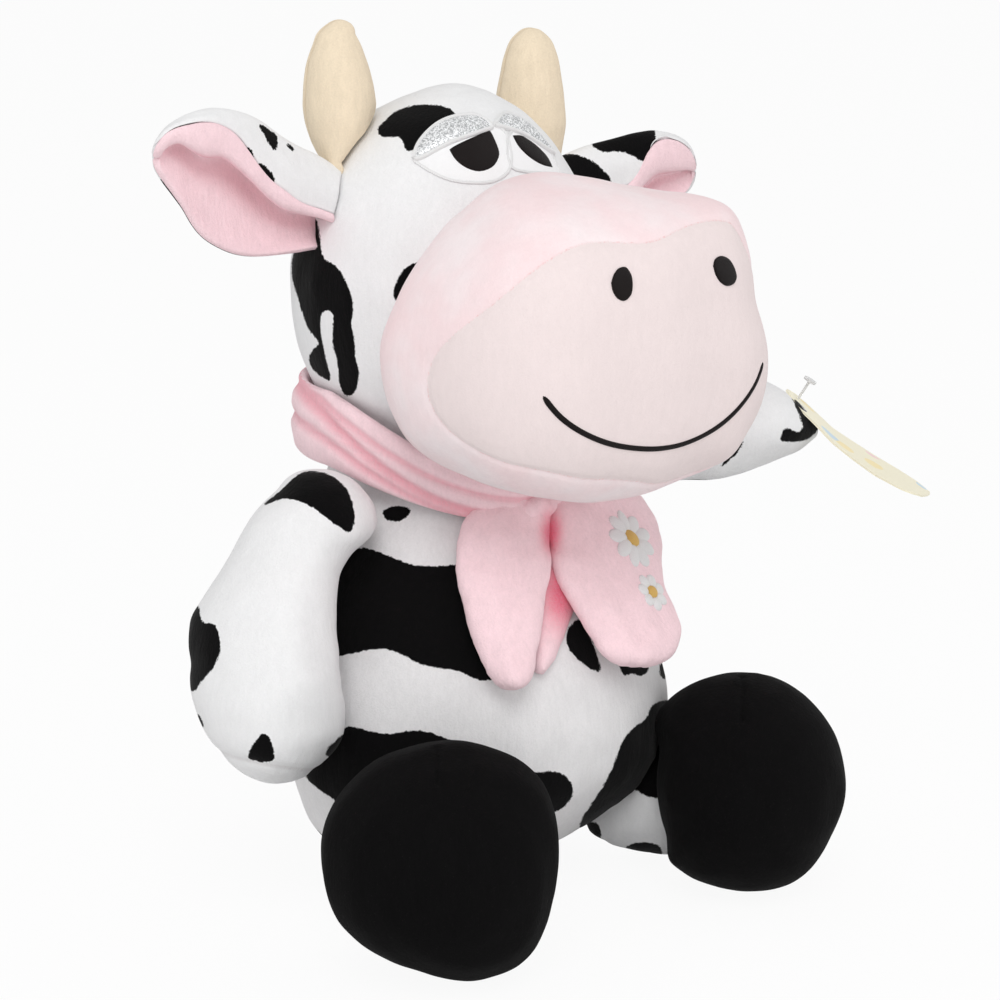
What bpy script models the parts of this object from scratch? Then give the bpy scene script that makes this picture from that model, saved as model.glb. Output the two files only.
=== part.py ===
"""A seated plush cow, about 36 cm tall, as separate sewn skins, fillings and trims.

The cow looks along -Y, its left side is +X, and it sits on the plane z = 0. The
origin is the middle of the flat place under its seat. Sizes are in metres.
"""

import math

import bmesh
import bpy
from mathutils import Euler, Matrix, Vector
from mathutils.bvhtree import BVHTree

# Fabric and clearances
SKIN = 0.0020
GAP = 0.0003
SOCKET_GAP = 0.0004
PATCH_THICKNESS = 0.0010
PATCH_LIFT = 0.0005
PATCH_INNER_SHARE = 0.55
SEAT_FLAT = 0.0005
CUT_OVERRUN = 0.0600
# how far a faceted cutter's flats lie inside its own corners
FACET_SHARE = 0.990
# the flattest corner that is still moved one whole wall away
CORNER_SHARE = 0.50
TORSO_SIDES = 20
LIMB_SIDES = 14
TRIM_SIDES = 12

# Torso
BODY_HEIGHT = 0.1920
BODY_HALF_WIDTH = 0.0850
BODY_HALF_DEPTH = 0.0690
# height, half width and half depth, and the shift along Y in half depths
BODY_STATION_SHARES = (
    (0.000, 0.34, 0.34, 0.00),
    (0.030, 0.60, 0.62, -0.05),
    (0.085, 0.80, 0.83, -0.12),
    (0.170, 0.93, 0.95, -0.17),
    (0.280, 0.99, 1.00, -0.20),
    (0.400, 1.00, 1.00, -0.20),
    (0.530, 0.94, 0.97, -0.16),
    (0.660, 0.85, 0.90, -0.08),
    (0.790, 0.72, 0.79, 0.03),
    (0.900, 0.60, 0.69, 0.12),
    (1.000, 0.51, 0.61, 0.14),
)

# Head: a ball that sits in the neck, drawn up into an egg
HEAD_BALL_RADIUS = 0.0620
HEAD_CENTRE_Y = 0.0090
HEAD_CENTRE_Z = 0.2380
HEAD_HALF_WIDTH = 0.0650
HEAD_HALF_DEPTH = 0.0612
HEAD_CROWN_HEIGHT = 0.0940
NECK_HOLE_RADIUS = 0.0160
HEAD_BALL_DEGREES = (12, 30, 48, 62, 76)
# height over the ball's centre in crown heights, and the share of the half width
HEAD_STATION_SHARES = (
    (0.02, 0.985),
    (0.20, 0.998),
    (0.40, 0.940),
    (0.58, 0.835),
    (0.74, 0.685),
    (0.87, 0.500),
    (0.96, 0.270),
    (1.00, 0.090),
)

# Muzzle
MUZZLE_HALF_WIDTH = 0.0760
MUZZLE_HALF_DEPTH = 0.0520
MUZZLE_HALF_HEIGHT = 0.0600
MUZZLE_CENTRE_Y = -0.0790
MUZZLE_CENTRE_Z = 0.2393
MUZZLE_SQUARENESS = 2.8
MUZZLE_PITCH = math.radians(2.3)
MUZZLE_RING_DEGREES = (-80, -64, -46, -26, 0, 26, 46, 64, 80)
FACE_TURN = math.radians(2.0)
# where the front panel starts, in half depths, at the middle and at the sides
PANEL_MIDDLE_SHARE = 0.76
PANEL_SIDE_SHARE = 0.04
PANEL_STEPS = 10

# Face, in metres from the muzzle's middle or over the origin
NOSTRIL_SPACING = 0.0520
NOSTRIL_RISE = 0.0300
NOSTRIL_WIDTH = 0.0075
NOSTRIL_HEIGHT = 0.0125
MOUTH_HALF_WIDTH = 0.0580
MOUTH_RISE = -0.0100
MOUTH_SAG = 0.0220
MOUTH_THREAD = 0.0030
MOUTH_STEPS = 32
EYE_SPACING = 0.0390
EYE_CHORD_Z = 0.3100
EYE_TILT = math.radians(17.5)
EYE_HALF_WIDTH = 0.0150
EYE_DROP = 0.0125
PUPIL_HALF_WIDTH = 0.0092
PUPIL_DROP = 0.0100
# the cow glances to its left
PUPIL_SHIFT = 0.0036
LID_HALF_WIDTH = 0.0180
LID_RISE = 0.0070
LID_SEAM = 0.0005

# Horns
HORN_X = {"right": 0.0450, "left": 0.0510}
HORN_Y = 0.0180
HORN_FOOT_Z = 0.2860
HORN_TIP_Z = 0.3575
HORN_DROP = {"right": 0.0, "left": 0.0070}
HORN_RADIUS = 0.0145
# height in horn heights, and the share of the radius
HORN_STATION_SHARES = (
    (0.00, 0.62),
    (0.20, 0.78),
    (0.45, 1.00),
    (0.65, 0.92),
    (0.82, 0.76),
    (0.93, 0.56),
    (1.00, 0.20),
)

# Ears
EAR_Y = 0.0120
EAR_Z = {"right": 0.2850, "left": 0.2770}
EAR_LENGTH = 0.0740
EAR_HALF_WIDTH = 0.0270
EAR_THICKNESS = 0.0060
EAR_CUP = 0.0070
EAR_LIFT_DEGREES = {"right": 18.0, "left": 8.0}
EAR_ROOT_SLACK = {"right": 0.0014, "left": 0.0011}
EAR_ROOT_ROUND_SHARES = (0.95, 0.70)
EAR_LAYER_GAP = 0.0005
LINING_SHARE = 0.86
# distance from the root in ear lengths, and the share of the half width
EAR_STATION_SHARES = (
    (0.00, 0.42),
    (0.14, 0.66),
    (0.32, 0.92),
    (0.52, 1.00),
    (0.72, 0.88),
    (0.88, 0.62),
    (0.97, 0.34),
    (1.00, 0.14),
)
EAR_WIDTH_STEPS = 4

# Arms, hanging down from the ball at the shoulder
SHOULDER_X = 0.0820
SHOULDER_Y = -0.0140
SHOULDER_Z = 0.1600
SHOULDER_RADIUS = 0.0270
ARM_REACH = 0.0970
ARM_HALF_THICKNESS = {"right": 0.0280, "left": 0.0235}
ARM_HALF_WIDTH = 0.0315
ARM_OPENING_RADIUS = 0.0070
ARM_PANEL_SHARE = 0.86
ARM_BALL_DEGREES = (16, 40, 65, 90)
RIGHT_ARM_SWING = math.radians(6.5)
LEFT_ARM_RAISE = math.radians(81.0)
LEFT_ARM_FORWARD = math.radians(5.0)
# reach and outward bow in arm reaches, and the shares of the half thickness and width
ARM_STATION_SHARES = {
    "right": (
        (0.18, 0.14, 0.91, 0.91),
        (0.38, 0.26, 0.91, 0.95),
        (0.58, 0.32, 0.96, 1.00),
        (0.76, 0.31, 0.95, 0.99),
        (0.88, 0.29, 0.80, 0.85),
        (0.96, 0.27, 0.54, 0.58),
        (1.00, 0.26, 0.20, 0.22),
    ),
    "left": (
        (0.18, 0.13, 1.00, 0.94),
        (0.38, 0.23, 1.00, 0.97),
        (0.56, 0.27, 0.93, 0.98),
        (0.68, 0.268, 0.82, 0.90),
        (0.79, 0.255, 0.64, 0.74),
        (0.89, 0.24, 0.42, 0.52),
        (0.96, 0.23, 0.16, 0.20),
    ),
}

# Legs, pointing forward from the ball at the hip
HIP_X = 0.0660
HIP_Y = -0.0460
HIP_Z = 0.0300
HIP_RADIUS = 0.0290
LEG_RADIUS = 0.0215
LEG_STATION_SHARES = (0.50, 1.00)
FOOT_X = 0.0780
FOOT_Y = -0.0940
FOOT_HALF_WIDTH = 0.0460
FOOT_HALF_DEPTH = 0.0400
FOOT_HALF_HEIGHT = 0.0460
FOOT_TURN = math.radians(20.0)
FOOT_RING_DEGREES = (-75, -50, -25, 0, 25, 50, 75)
FOOT_SIDES = 18
LEG_BALL_DEGREES = (16, 40, 65, 90, 112, 132)
BELLY_FOOT_GAP = 0.0008

# Scarf
SCARF_INNER_RADIUS = 0.0565
SCARF_THICKNESS = 0.0068
SCARF_TOP = 0.2110
SCARF_FRONT_DROP = 0.0380
SCARF_BOTTOM = 0.1840
SCARF_BOTTOM_DROP = 0.0200
SCARF_FOLD = 0.0014
SCARF_FOLDS = 3
SCARF_SIDES = 40
SCARF_FRONT_POWER = 1.5
# rise from the bottom edge to the top one, and how far out through the thickness
SCARF_SECTION_SHARES = ((0.0, 0.0), (0.0, 0.7), (0.25, 1.0), (0.5, 1.0), (0.75, 1.0), (1.0, 0.6), (1.0, 0.0))
KNOT_HALF_WIDTH = 0.0100
KNOT_HALF_DEPTH = 0.0060
KNOT_HALF_HEIGHT = 0.0080
KNOT_Z = 0.1625
# how far the knot stands on the folds, in folds
KNOT_FOLD_SHARE = 0.45
KNOT_RING_DEGREES = (-70, -40, -12, 12, 40, 70)
STRAP_ROOT_ANGLE = math.radians(43.0)
STRAP_BALL_SHARES = (0.95, 0.70)
STRAP_HALF_THICKNESS = 0.0050
STRAP_ROOT_RADIUS = 0.0040
# tip place and half width of each hanging end
STRAP_TIP = {"right": (-0.0360, -0.0860, 0.1050), "left": (0.0300, -0.0920, 0.1070)}
STRAP_HALF_WIDTH = {"right": 0.0190, "left": 0.0260}
STRAP_ROLL_DEGREES = {"right": -12.0, "left": 10.0}
# distance from the root in strap lengths, shares of half width and half thickness, and
# the swing outwards in half widths
STRAP_STATION_SHARES = (
    (0.05, 0.56, 0.90, 0.26),
    (0.14, 0.84, 1.00, 0.48),
    (0.32, 1.00, 1.10, 0.48),
    (0.58, 0.95, 1.10, 0.24),
    (0.80, 0.78, 1.00, 0.08),
    (0.94, 0.54, 0.80, 0.02),
    (1.00, 0.22, 0.36, 0.00),
)
MOTIF_PLACE_SHARE = 0.52
MOTIF_RADIUS = 0.0120

# Tail
TAIL_RADIUS = 0.0045
TAIL_ROOT_Z = 0.0700
TAIL_ROOT_RADIUS = 0.0050
TAIL_LENGTH = 0.0400
TAIL_SWING_OUT = 0.0060
TAIL_STATION_SHARES = (0.15, 0.40, 0.70, 1.00)
TUFT_RADIUS = 0.0080
TUFT_LENGTH = 0.0240
# distance down the tuft, and the share of its radius
TUFT_STATION_SHARES = ((0.00, 0.55), (0.20, 0.90), (0.50, 1.00), (0.80, 0.75), (1.00, 0.25))

# Swing tag
TAG_LENGTH = 0.0730
TAG_WIDTH = 0.0360
TAG_THICKNESS = 0.0008
TAG_CORNER = 0.0060
TAG_CORNER_STEPS = 4
TAG_HOLE_RADIUS = 0.0013
TAG_HOLE_INSET = 0.0060
TAG_STAND_OFF = 0.0060
TAG_PLACE_SHARE = 0.78
TAG_DIRECTION = Vector((0.378, -0.786, -0.491))
TAG_NORMAL = Vector((0.375, -0.355, 0.857))
PIN_RADIUS = 0.0006
PIN_FOOT_GAP = 0.0003
PIN_HEAD_RADIUS = 0.0030
PIN_HEAD_THICKNESS = 0.0012

SIDES = {"right": -1.0, "left": 1.0}


def clear_scene():
    """Removes every object that the scene starts with."""
    for item in list(bpy.data.objects):
        bpy.data.objects.remove(item, do_unlink=True)


def material(name, colour, roughness):
    """Returns the named fabric, making it the first time that it is asked for."""
    found = bpy.data.materials.get(name)
    if found:
        return found
    made = bpy.data.materials.new(name)
    made.use_nodes = True
    shader = made.node_tree.nodes["Principled BSDF"]
    shader.inputs["Base Color"].default_value = (*colour, 1.0)
    shader.inputs["Roughness"].default_value = roughness
    shader.inputs["Metallic"].default_value = 0.0
    return made


def white_plush():
    return material("white_plush", (0.86, 0.86, 0.86), 0.95)


def black_plush():
    return material("black_plush", (0.012, 0.012, 0.013), 0.95)


def pale_pink_plush():
    return material("pale_pink_plush", (0.86, 0.74, 0.72), 0.95)


def pink_plush():
    return material("pink_plush", (0.85, 0.55, 0.58), 0.95)


def beige_plush():
    return material("beige_plush", (0.78, 0.66, 0.50), 0.95)


def stuffing():
    return material("fibre_filling", (0.90, 0.90, 0.88), 1.0)


def dark_thread():
    return material("dark_thread", (0.020, 0.012, 0.012), 0.55)


def glitter_fabric():
    return material("glitter_fabric", (0.62, 0.62, 0.64), 0.35)


def tag_card():
    return material("tag_card", (0.86, 0.82, 0.66), 0.60)


def clear_plastic():
    return material("clear_plastic", (0.80, 0.80, 0.80), 0.25)


def empty(name, place, turn=(0.0, 0.0, 0.0)):
    """Adds the empty that a moving body hangs on, at its joint's axis."""
    pivot = bpy.data.objects.new(name, None)
    pivot.location = place
    pivot.rotation_euler = turn
    bpy.context.scene.collection.objects.link(pivot)
    return pivot


def add_object(name, mesh, finish, parent=None):
    """Links a mesh as a named object, on its parent's axis if it has one."""
    item = bpy.data.objects.new(name, mesh)
    mesh.materials.append(finish)
    mesh.shade_smooth()
    bpy.context.scene.collection.objects.link(item)
    if parent:
        item.parent = parent
    return item


def guide(item):
    """Marks an object as a cutter, which is not one of the cow's pieces."""
    item.hide_render = True
    item.display_type = "WIRE"
    return item


def finish_mesh(shape, name):
    """Turns a bmesh into a mesh whose faces point outwards."""
    bmesh.ops.recalc_face_normals(shape, faces=shape.faces)
    mesh = bpy.data.meshes.new(name)
    shape.to_mesh(mesh)
    shape.free()
    return mesh


def lofted(name, rings):
    """Joins rings of points, each as long as the next, into one closed mesh."""
    shape = bmesh.new()
    loops = [[shape.verts.new(point) for point in ring] for ring in rings]
    for lower, upper in zip(loops, loops[1:]):
        for index in range(len(lower)):
            following = (index + 1) % len(lower)
            shape.faces.new((lower[index], lower[following], upper[following], upper[index]))
    shape.faces.new(loops[0])
    shape.faces.new(loops[-1])
    return finish_mesh(shape, name)


def oval_ring(centre, half_x, half_y, sides):
    """Gives the points of a level oval."""
    ring = []
    for index in range(sides):
        angle = math.tau * index / sides
        ring.append(centre + Vector((half_x * math.cos(angle), half_y * math.sin(angle), 0.0)))
    return ring


def superellipse(cosine, power):
    """Draws a circle's sine or cosine out towards a square's."""
    return math.copysign(abs(cosine) ** (2.0 / power), cosine)


def swollen(mesh, distance):
    """Copies a mesh with every point moved out along its normal, or in if negative."""
    grown = mesh.copy()
    shape = bmesh.new()
    shape.from_mesh(grown)
    shape.normal_update()
    normals = {vert: offset_normal(vert) for vert in shape.verts}
    for vert, normal in normals.items():
        vert.co += normal * distance
    shape.to_mesh(grown)
    shape.free()
    return grown


def offset_normal(vert):
    """Gives the move that keeps a corner one wall away from its faces."""
    mean = Vector()
    for face in vert.link_faces:
        mean += face.normal
    mean.normalize()
    flattest = min(mean.dot(face.normal) for face in vert.link_faces)
    return mean / max(flattest, CORNER_SHARE)


def cut(item, cutter, operation="DIFFERENCE"):
    """Cuts one object by another with an exact Boolean."""
    modifier = item.modifiers.new("cut", "BOOLEAN")
    modifier.object = cutter
    modifier.operation = operation
    modifier.solver = "EXACT"
    return item


def ball_cutter(name, centre, radius):
    """Adds a faceted ball whose flats still clear the given radius."""
    shape = bmesh.new()
    bmesh.ops.create_icosphere(shape, subdivisions=3, radius=radius / FACET_SHARE)
    bmesh.ops.translate(shape, verts=shape.verts, vec=centre)
    return guide(add_object(name, finish_mesh(shape, name), stuffing()))


def rod_mesh(name, start, end, radius, sides=TRIM_SIDES):
    """Makes a straight round rod between two points."""
    axis = end - start
    turn = axis.to_track_quat("Z", "Y").to_matrix()
    circle = oval_ring(Vector(), radius, radius, sides)
    return lofted(name, [[place + turn @ point for point in circle] for place in (start, end)])


def rod_cutter(name, start, end, radius, parent=None):
    return guide(add_object(name, rod_mesh(name, start, end, radius), stuffing(), parent))


def slab_cutter(name, low, high, parent=None):
    """Adds a straight-sided block between two corners."""
    shape = bmesh.new()
    bmesh.ops.create_cube(shape, size=1.0)
    span = high - low
    bmesh.ops.scale(shape, verts=shape.verts, vec=span)
    bmesh.ops.translate(shape, verts=shape.verts, vec=(low + high) / 2.0)
    return guide(add_object(name, finish_mesh(shape, name), stuffing(), parent))


def share_at(stations, place, column):
    """Reads one column of a station table at a place along it."""
    for first, second in zip(stations, stations[1:]):
        if place <= second[0]:
            part = (place - first[0]) / (second[0] - first[0])
            part = max(part, 0.0)
            return first[column] + (second[column] - first[column]) * part
    return stations[-1][column]


def ball_rings(radius, degrees, sides):
    """Gives the level rings of a ball from its top down to the last angle."""
    rings = []
    for angle in degrees:
        turn = math.radians(angle)
        centre = Vector((0.0, 0.0, radius * math.cos(turn)))
        rings.append(oval_ring(centre, radius * math.sin(turn), radius * math.sin(turn), sides))
    return rings


def body_mesh(name):
    """Makes the torso's outer form from its stations."""
    rings = []
    for height, width, depth, shift in BODY_STATION_SHARES:
        centre = Vector((0.0, BODY_HALF_DEPTH * shift, BODY_HEIGHT * height))
        rings.append(oval_ring(centre, BODY_HALF_WIDTH * width, BODY_HALF_DEPTH * depth, TORSO_SIDES))
    return lofted(name, rings)


def body_back(height):
    """Gives how far back the torso reaches at a height."""
    place = height / BODY_HEIGHT
    depth = share_at(BODY_STATION_SHARES, place, 2)
    shift = share_at(BODY_STATION_SHARES, place, 3)
    return BODY_HALF_DEPTH * (depth + shift)


def head_centre():
    return Vector((0.0, HEAD_CENTRE_Y, HEAD_CENTRE_Z))


def head_mesh(name):
    """Makes the head's outer form: a ball below, an egg's crown above."""
    rings = []
    for ring in ball_rings(HEAD_BALL_RADIUS, HEAD_BALL_DEGREES, TORSO_SIDES):
        rings.append([head_centre() + Vector((point.x, point.y, -point.z)) for point in ring])
    for height, width in HEAD_STATION_SHARES:
        centre = head_centre() + Vector((0.0, 0.0, HEAD_CROWN_HEIGHT * height))
        rings.append(oval_ring(centre, HEAD_HALF_WIDTH * width, HEAD_HALF_DEPTH * width, TORSO_SIDES))
    return lofted(name, rings)


def head_front(across, height):
    """Gives the point of the head's front at a place across and a height."""
    place = (height - HEAD_CENTRE_Z) / HEAD_CROWN_HEIGHT
    share = share_at(HEAD_STATION_SHARES, place, 1)
    reach = max(1.0 - (across / (HEAD_HALF_WIDTH * share)) ** 2, 0.0)
    return Vector((across, HEAD_CENTRE_Y - HEAD_HALF_DEPTH * share * math.sqrt(reach), height))


def face_turn_matrix():
    """Turns the face a little to the cow's left about the head's middle."""
    middle = Matrix.Translation(head_centre())
    return middle @ Matrix.Rotation(FACE_TURN, 4, "Z") @ middle.inverted()


def muzzle_matrix():
    """Places the muzzle, with its own front along -Y, on the turned face."""
    place = Matrix.Translation(Vector((0.0, MUZZLE_CENTRE_Y, MUZZLE_CENTRE_Z)))
    return face_turn_matrix() @ place @ Matrix.Rotation(MUZZLE_PITCH, 4, "X")


def muzzle_mesh(name):
    """Makes the muzzle's squarish egg, ringed from side to side."""
    rings = []
    for latitude in MUZZLE_RING_DEGREES:
        turn = math.radians(latitude)
        across = MUZZLE_HALF_WIDTH * superellipse(math.sin(turn), MUZZLE_SQUARENESS)
        girth = superellipse(math.cos(turn), MUZZLE_SQUARENESS)
        ring = []
        for index in range(TORSO_SIDES):
            angle = math.tau * index / TORSO_SIDES
            depth = MUZZLE_HALF_DEPTH * girth * superellipse(math.cos(angle), MUZZLE_SQUARENESS)
            height = MUZZLE_HALF_HEIGHT * girth * superellipse(math.sin(angle), MUZZLE_SQUARENESS)
            ring.append(muzzle_matrix() @ Vector((across, depth, height)))
        rings.append(ring)
    return lofted(name, rings)


def muzzle_front(tree, across, height):
    """Gives the place on the muzzle's mesh in front of a place over its own middle."""
    start = muzzle_matrix() @ Vector((across, -MUZZLE_HALF_WIDTH, height))
    inwards = muzzle_matrix().to_3x3() @ Vector((0.0, 1.0, 0.0))
    return tree.ray_cast(start, inwards)[0]


def surface_tree(mesh):
    """Gives a mesh's surface in a form that a ray can be cast on."""
    points = [vert.co for vert in mesh.vertices]
    return BVHTree.FromPolygons(points, [face.vertices for face in mesh.polygons])


def panel_cutter(name, shift):
    """Adds the curved wedge that holds the muzzle's front panel and all before it."""
    front = []
    for step in range(PANEL_STEPS + 1):
        across = (2.0 * step / PANEL_STEPS - 1.0) * (MUZZLE_HALF_WIDTH + SKIN)
        bend = (across / MUZZLE_HALF_WIDTH) ** 2
        share = PANEL_MIDDLE_SHARE + (PANEL_SIDE_SHARE - PANEL_MIDDLE_SHARE) * bend
        front.append(Vector((across, shift - MUZZLE_HALF_DEPTH * share, 0.0)))
    reach = MUZZLE_HALF_DEPTH + CUT_OVERRUN
    outline = [*front, Vector((front[-1].x, -reach, 0.0)), Vector((front[0].x, -reach, 0.0))]
    rise = Vector((0.0, 0.0, MUZZLE_HALF_HEIGHT + CUT_OVERRUN))
    place = muzzle_matrix()
    rings = [[place @ (point + side * rise) for point in outline] for side in (-1.0, 1.0)]
    return guide(add_object(name, lofted(name, rings), stuffing()))


def patch(name, outline, surface, lift, finish):
    """Lays a thin closed patch on a surface that takes a place across and a height."""
    middle = sum(outline, Vector((0.0, 0.0))) / len(outline)
    shape = bmesh.new()
    layers = []
    for level in (lift, lift + PATCH_THICKNESS):
        loops = []
        for share in (1.0, PATCH_INNER_SHARE):
            loops.append([raised(shape, surface, middle.lerp(point, share), level) for point in outline])
        centre = raised(shape, surface, middle, level)
        layers.append((loops, centre))
    count = len(outline)
    for loops, centre in layers:
        for index in range(count):
            following = (index + 1) % count
            outer, inner = loops
            shape.faces.new((outer[index], outer[following], inner[following], inner[index]))
            shape.faces.new((inner[index], inner[following], centre))
    low = layers[0][0][0]
    high = layers[1][0][0]
    for index in range(count):
        following = (index + 1) % count
        shape.faces.new((low[index], low[following], high[following], high[index]))
    return add_object(name, finish_mesh(shape, name), finish)


def surface_normal(surface, place):
    """Gives a surface's outward direction at a place across and a height."""
    here = surface(place.x, place.y)
    over = surface(place.x, place.y + PATCH_THICKNESS) - here
    beside = surface(place.x + PATCH_THICKNESS, place.y) - here
    return beside.cross(over).normalized()


def raised(shape, surface, place, level):
    """Adds a point at a level above a surface."""
    return shape.verts.new(surface(place.x, place.y) + surface_normal(surface, place) * level)


def oval_outline(middle, half_width, half_height, sides=TRIM_SIDES):
    """Gives a flat oval as places across and heights."""
    points = []
    for index in range(sides):
        angle = math.tau * index / sides
        points.append(middle + Vector((half_width * math.cos(angle), half_height * math.sin(angle))))
    return points


def section_ring(frame, centre, half_x, half_y, sides):
    """Gives an oval across a frame's own X and Y, about a place in that frame."""
    return [frame @ point for point in oval_ring(centre, half_x, half_y, sides)]


def make_torso():
    """Makes the torso's skin and filling, cut for the head, the arms and the hips."""
    skin = add_object("body_skin", body_mesh("body_skin"), white_plush())
    hollow = guide(add_object("body_hollow", swollen(skin.data, -SKIN), stuffing()))
    filling = add_object("body_filling", swollen(skin.data, -SKIN - GAP), stuffing())
    cut(skin, ball_cutter("head_socket", head_centre(), HEAD_BALL_RADIUS + SOCKET_GAP))
    cut(filling, ball_cutter("head_pocket", head_centre(), HEAD_BALL_RADIUS + SOCKET_GAP + GAP))
    for side, sign in SIDES.items():
        limbs = {
            "shoulder_" + side: (shoulder(sign), SHOULDER_RADIUS),
            "hip_" + side: (hip(sign), HIP_RADIUS),
        }
        for name, (centre, radius) in limbs.items():
            clear = radius + SOCKET_GAP
            cut(skin, ball_cutter(name + "_socket", centre, clear))
            cut(hollow, ball_cutter(name + "_lining", centre, clear + SKIN))
            cut(filling, ball_cutter(name + "_pocket", centre, clear + SKIN + GAP))
        belly_dents(side, sign, skin, hollow, filling)
    cut(skin, hollow)


def belly_dents(side, sign, skin, hollow, filling):
    """Presses the foot's heel into the torso's three meshes."""
    for item, clear in ((skin, 0.0), (hollow, SKIN), (filling, SKIN + GAP)):
        dent = swollen(foot_mesh("heel", sign), BELLY_FOOT_GAP + clear)
        dent.transform(Matrix.Translation(hip(sign)))
        cut(item, guide(add_object("heel_dent_" + side, dent, stuffing())))


def make_head(pivot):
    """Makes the head's skin and filling, and returns the cutter that trims what is sewn on it."""
    skin = add_object("head_skin", head_mesh("head_skin"), white_plush())
    hollow = guide(add_object("head_hollow", swollen(skin.data, -SKIN), stuffing()))
    filling = add_object("head_filling", swollen(skin.data, -SKIN - GAP), stuffing())
    trim = guide(add_object("head_trim", swollen(skin.data, GAP), stuffing()))
    below = head_centre() - Vector((0.0, 0.0, HEAD_BALL_RADIUS + CUT_OVERRUN))
    cut(skin, hollow)
    cut(skin, rod_cutter("neck_hole", below, head_centre(), NECK_HOLE_RADIUS))
    for item in (skin, hollow, filling, trim):
        hang(item, pivot)
    return trim


def hang(item, pivot):
    """Parents a mesh made in world places to a pivot, with its origin on the pivot's axis."""
    item.data.transform(pivot_matrix(pivot).inverted())
    item.parent = pivot


def pivot_matrix(pivot):
    """Gives an empty's place in the world, through its parents."""
    own = Matrix.LocRotScale(pivot.location, pivot.rotation_euler, None)
    return pivot_matrix(pivot.parent) @ own if pivot.parent else own


def make_muzzle(pivot, trim):
    """Makes the muzzle's gusset, front panel and filling against the head."""
    gusset = add_object("muzzle_gusset", muzzle_mesh("muzzle_gusset"), pale_pink_plush())
    front = add_object("muzzle_front", gusset.data.copy(), pale_pink_plush())
    hollow = guide(add_object("muzzle_hollow", swollen(gusset.data, -SKIN), stuffing()))
    filling = add_object("muzzle_filling", swollen(gusset.data, -SKIN - GAP), stuffing())
    cut(gusset, hollow)
    cut(front, hollow)
    cut(gusset, panel_cutter("panel_and_seam", GAP))
    cut(front, panel_cutter("panel", 0.0), "INTERSECT")
    for item in (gusset, front, hollow, filling):
        hang(item, pivot)
    for item in (gusset, front, filling):
        cut(item, trim)


def half_oval(middle, half_width, height, tilt, steps=TRIM_SIDES // 2):
    """Gives the outline of an oval's half on a tilted chord, upwards or downwards."""
    turn = Matrix.Rotation(tilt, 2)
    points = []
    for index in range(steps + 1):
        angle = math.pi * index / steps
        points.append(middle + turn @ Vector((half_width * math.cos(angle), height * math.sin(angle))))
    for index in range(1, steps):
        points.append(middle + turn @ Vector((half_width * (2.0 * index / steps - 1.0), 0.0)))
    return points


def make_face(pivot):
    """Lays the eyes on the head and the nostrils and mouth on the muzzle."""

    def head_surface(across, height):
        return face_turn_matrix() @ head_front(across, height)

    tree = surface_tree(muzzle_mesh("muzzle_form"))

    def muzzle_surface(across, height):
        return muzzle_front(tree, across, height)

    for side, sign in SIDES.items():
        chord = Vector((sign * EYE_SPACING / 2.0, EYE_CHORD_Z))
        tilt = -sign * EYE_TILT
        turn = Matrix.Rotation(tilt, 2)
        under = chord - turn @ Vector((0.0, LID_SEAM))
        over = chord + turn @ Vector((0.0, LID_SEAM))
        white = half_oval(under, EYE_HALF_WIDTH, -EYE_DROP, tilt)
        glance = turn @ Vector((PUPIL_SHIFT, 0.0))
        pupil = half_oval(under + glance, PUPIL_HALF_WIDTH, -PUPIL_DROP, tilt)
        lid = half_oval(over, LID_HALF_WIDTH, LID_RISE, tilt)
        on_white = PATCH_LIFT + PATCH_THICKNESS + GAP
        eye = "eye_white_" + side
        hang(patch(eye, white, head_surface, PATCH_LIFT, white_plush()), pivot)
        hang(patch("pupil_" + side, pupil, head_surface, on_white, dark_thread()), pivot)
        hang(patch("eyelid_" + side, lid, head_surface, PATCH_LIFT, glitter_fabric()), pivot)
        nostril = oval_outline(
            Vector((sign * NOSTRIL_SPACING / 2.0, NOSTRIL_RISE)), NOSTRIL_WIDTH / 2.0, NOSTRIL_HEIGHT / 2.0
        )
        hang(patch("nostril_" + side, nostril, muzzle_surface, PATCH_LIFT, dark_thread()), pivot)
    places = []
    for step in range(MOUTH_STEPS + 1):
        share = 2.0 * step / MOUTH_STEPS - 1.0
        places.append(Vector((MOUTH_HALF_WIDTH * share, MOUTH_RISE - MOUTH_SAG * (1.0 - share * share))))
    hang(stitched_line("mouth", places, muzzle_surface, MOUTH_THREAD, dark_thread()), pivot)


def stitched_line(name, places, surface, width, finish):
    """Lays a narrow raised line of stitches along places on a surface."""
    rings = []
    for index, place in enumerate(places):
        before = places[max(index - 1, 0)]
        after = places[min(index + 1, len(places) - 1)]
        along = surface(after.x, after.y) - surface(before.x, before.y)
        normal = surface_normal(surface, place)
        across = normal.cross(along).normalized() * width / 2.0
        low = surface(place.x, place.y) + normal * PATCH_LIFT
        high = low + normal * PATCH_THICKNESS
        rings.append([low - across, low + across, high + across, high - across])
    return add_object(name, lofted(name, rings), finish)


def make_horns(pivot, trim):
    """Makes each horn as a stuffed leaf-shaped cone that stands on the head."""
    for side, sign in SIDES.items():
        rings = []
        for height, width in HORN_STATION_SHARES:
            rise = HORN_FOOT_Z - HORN_DROP[side] + (HORN_TIP_Z - HORN_FOOT_Z) * height
            centre = Vector((sign * HORN_X[side], HORN_Y, rise))
            rings.append(oval_ring(centre, HORN_RADIUS * width, HORN_RADIUS * width, TRIM_SIDES))
        name = "horn_" + side
        horn = add_object(name, lofted(name, rings), beige_plush())
        hang(horn, pivot)
        cut(horn, trim)


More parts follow.
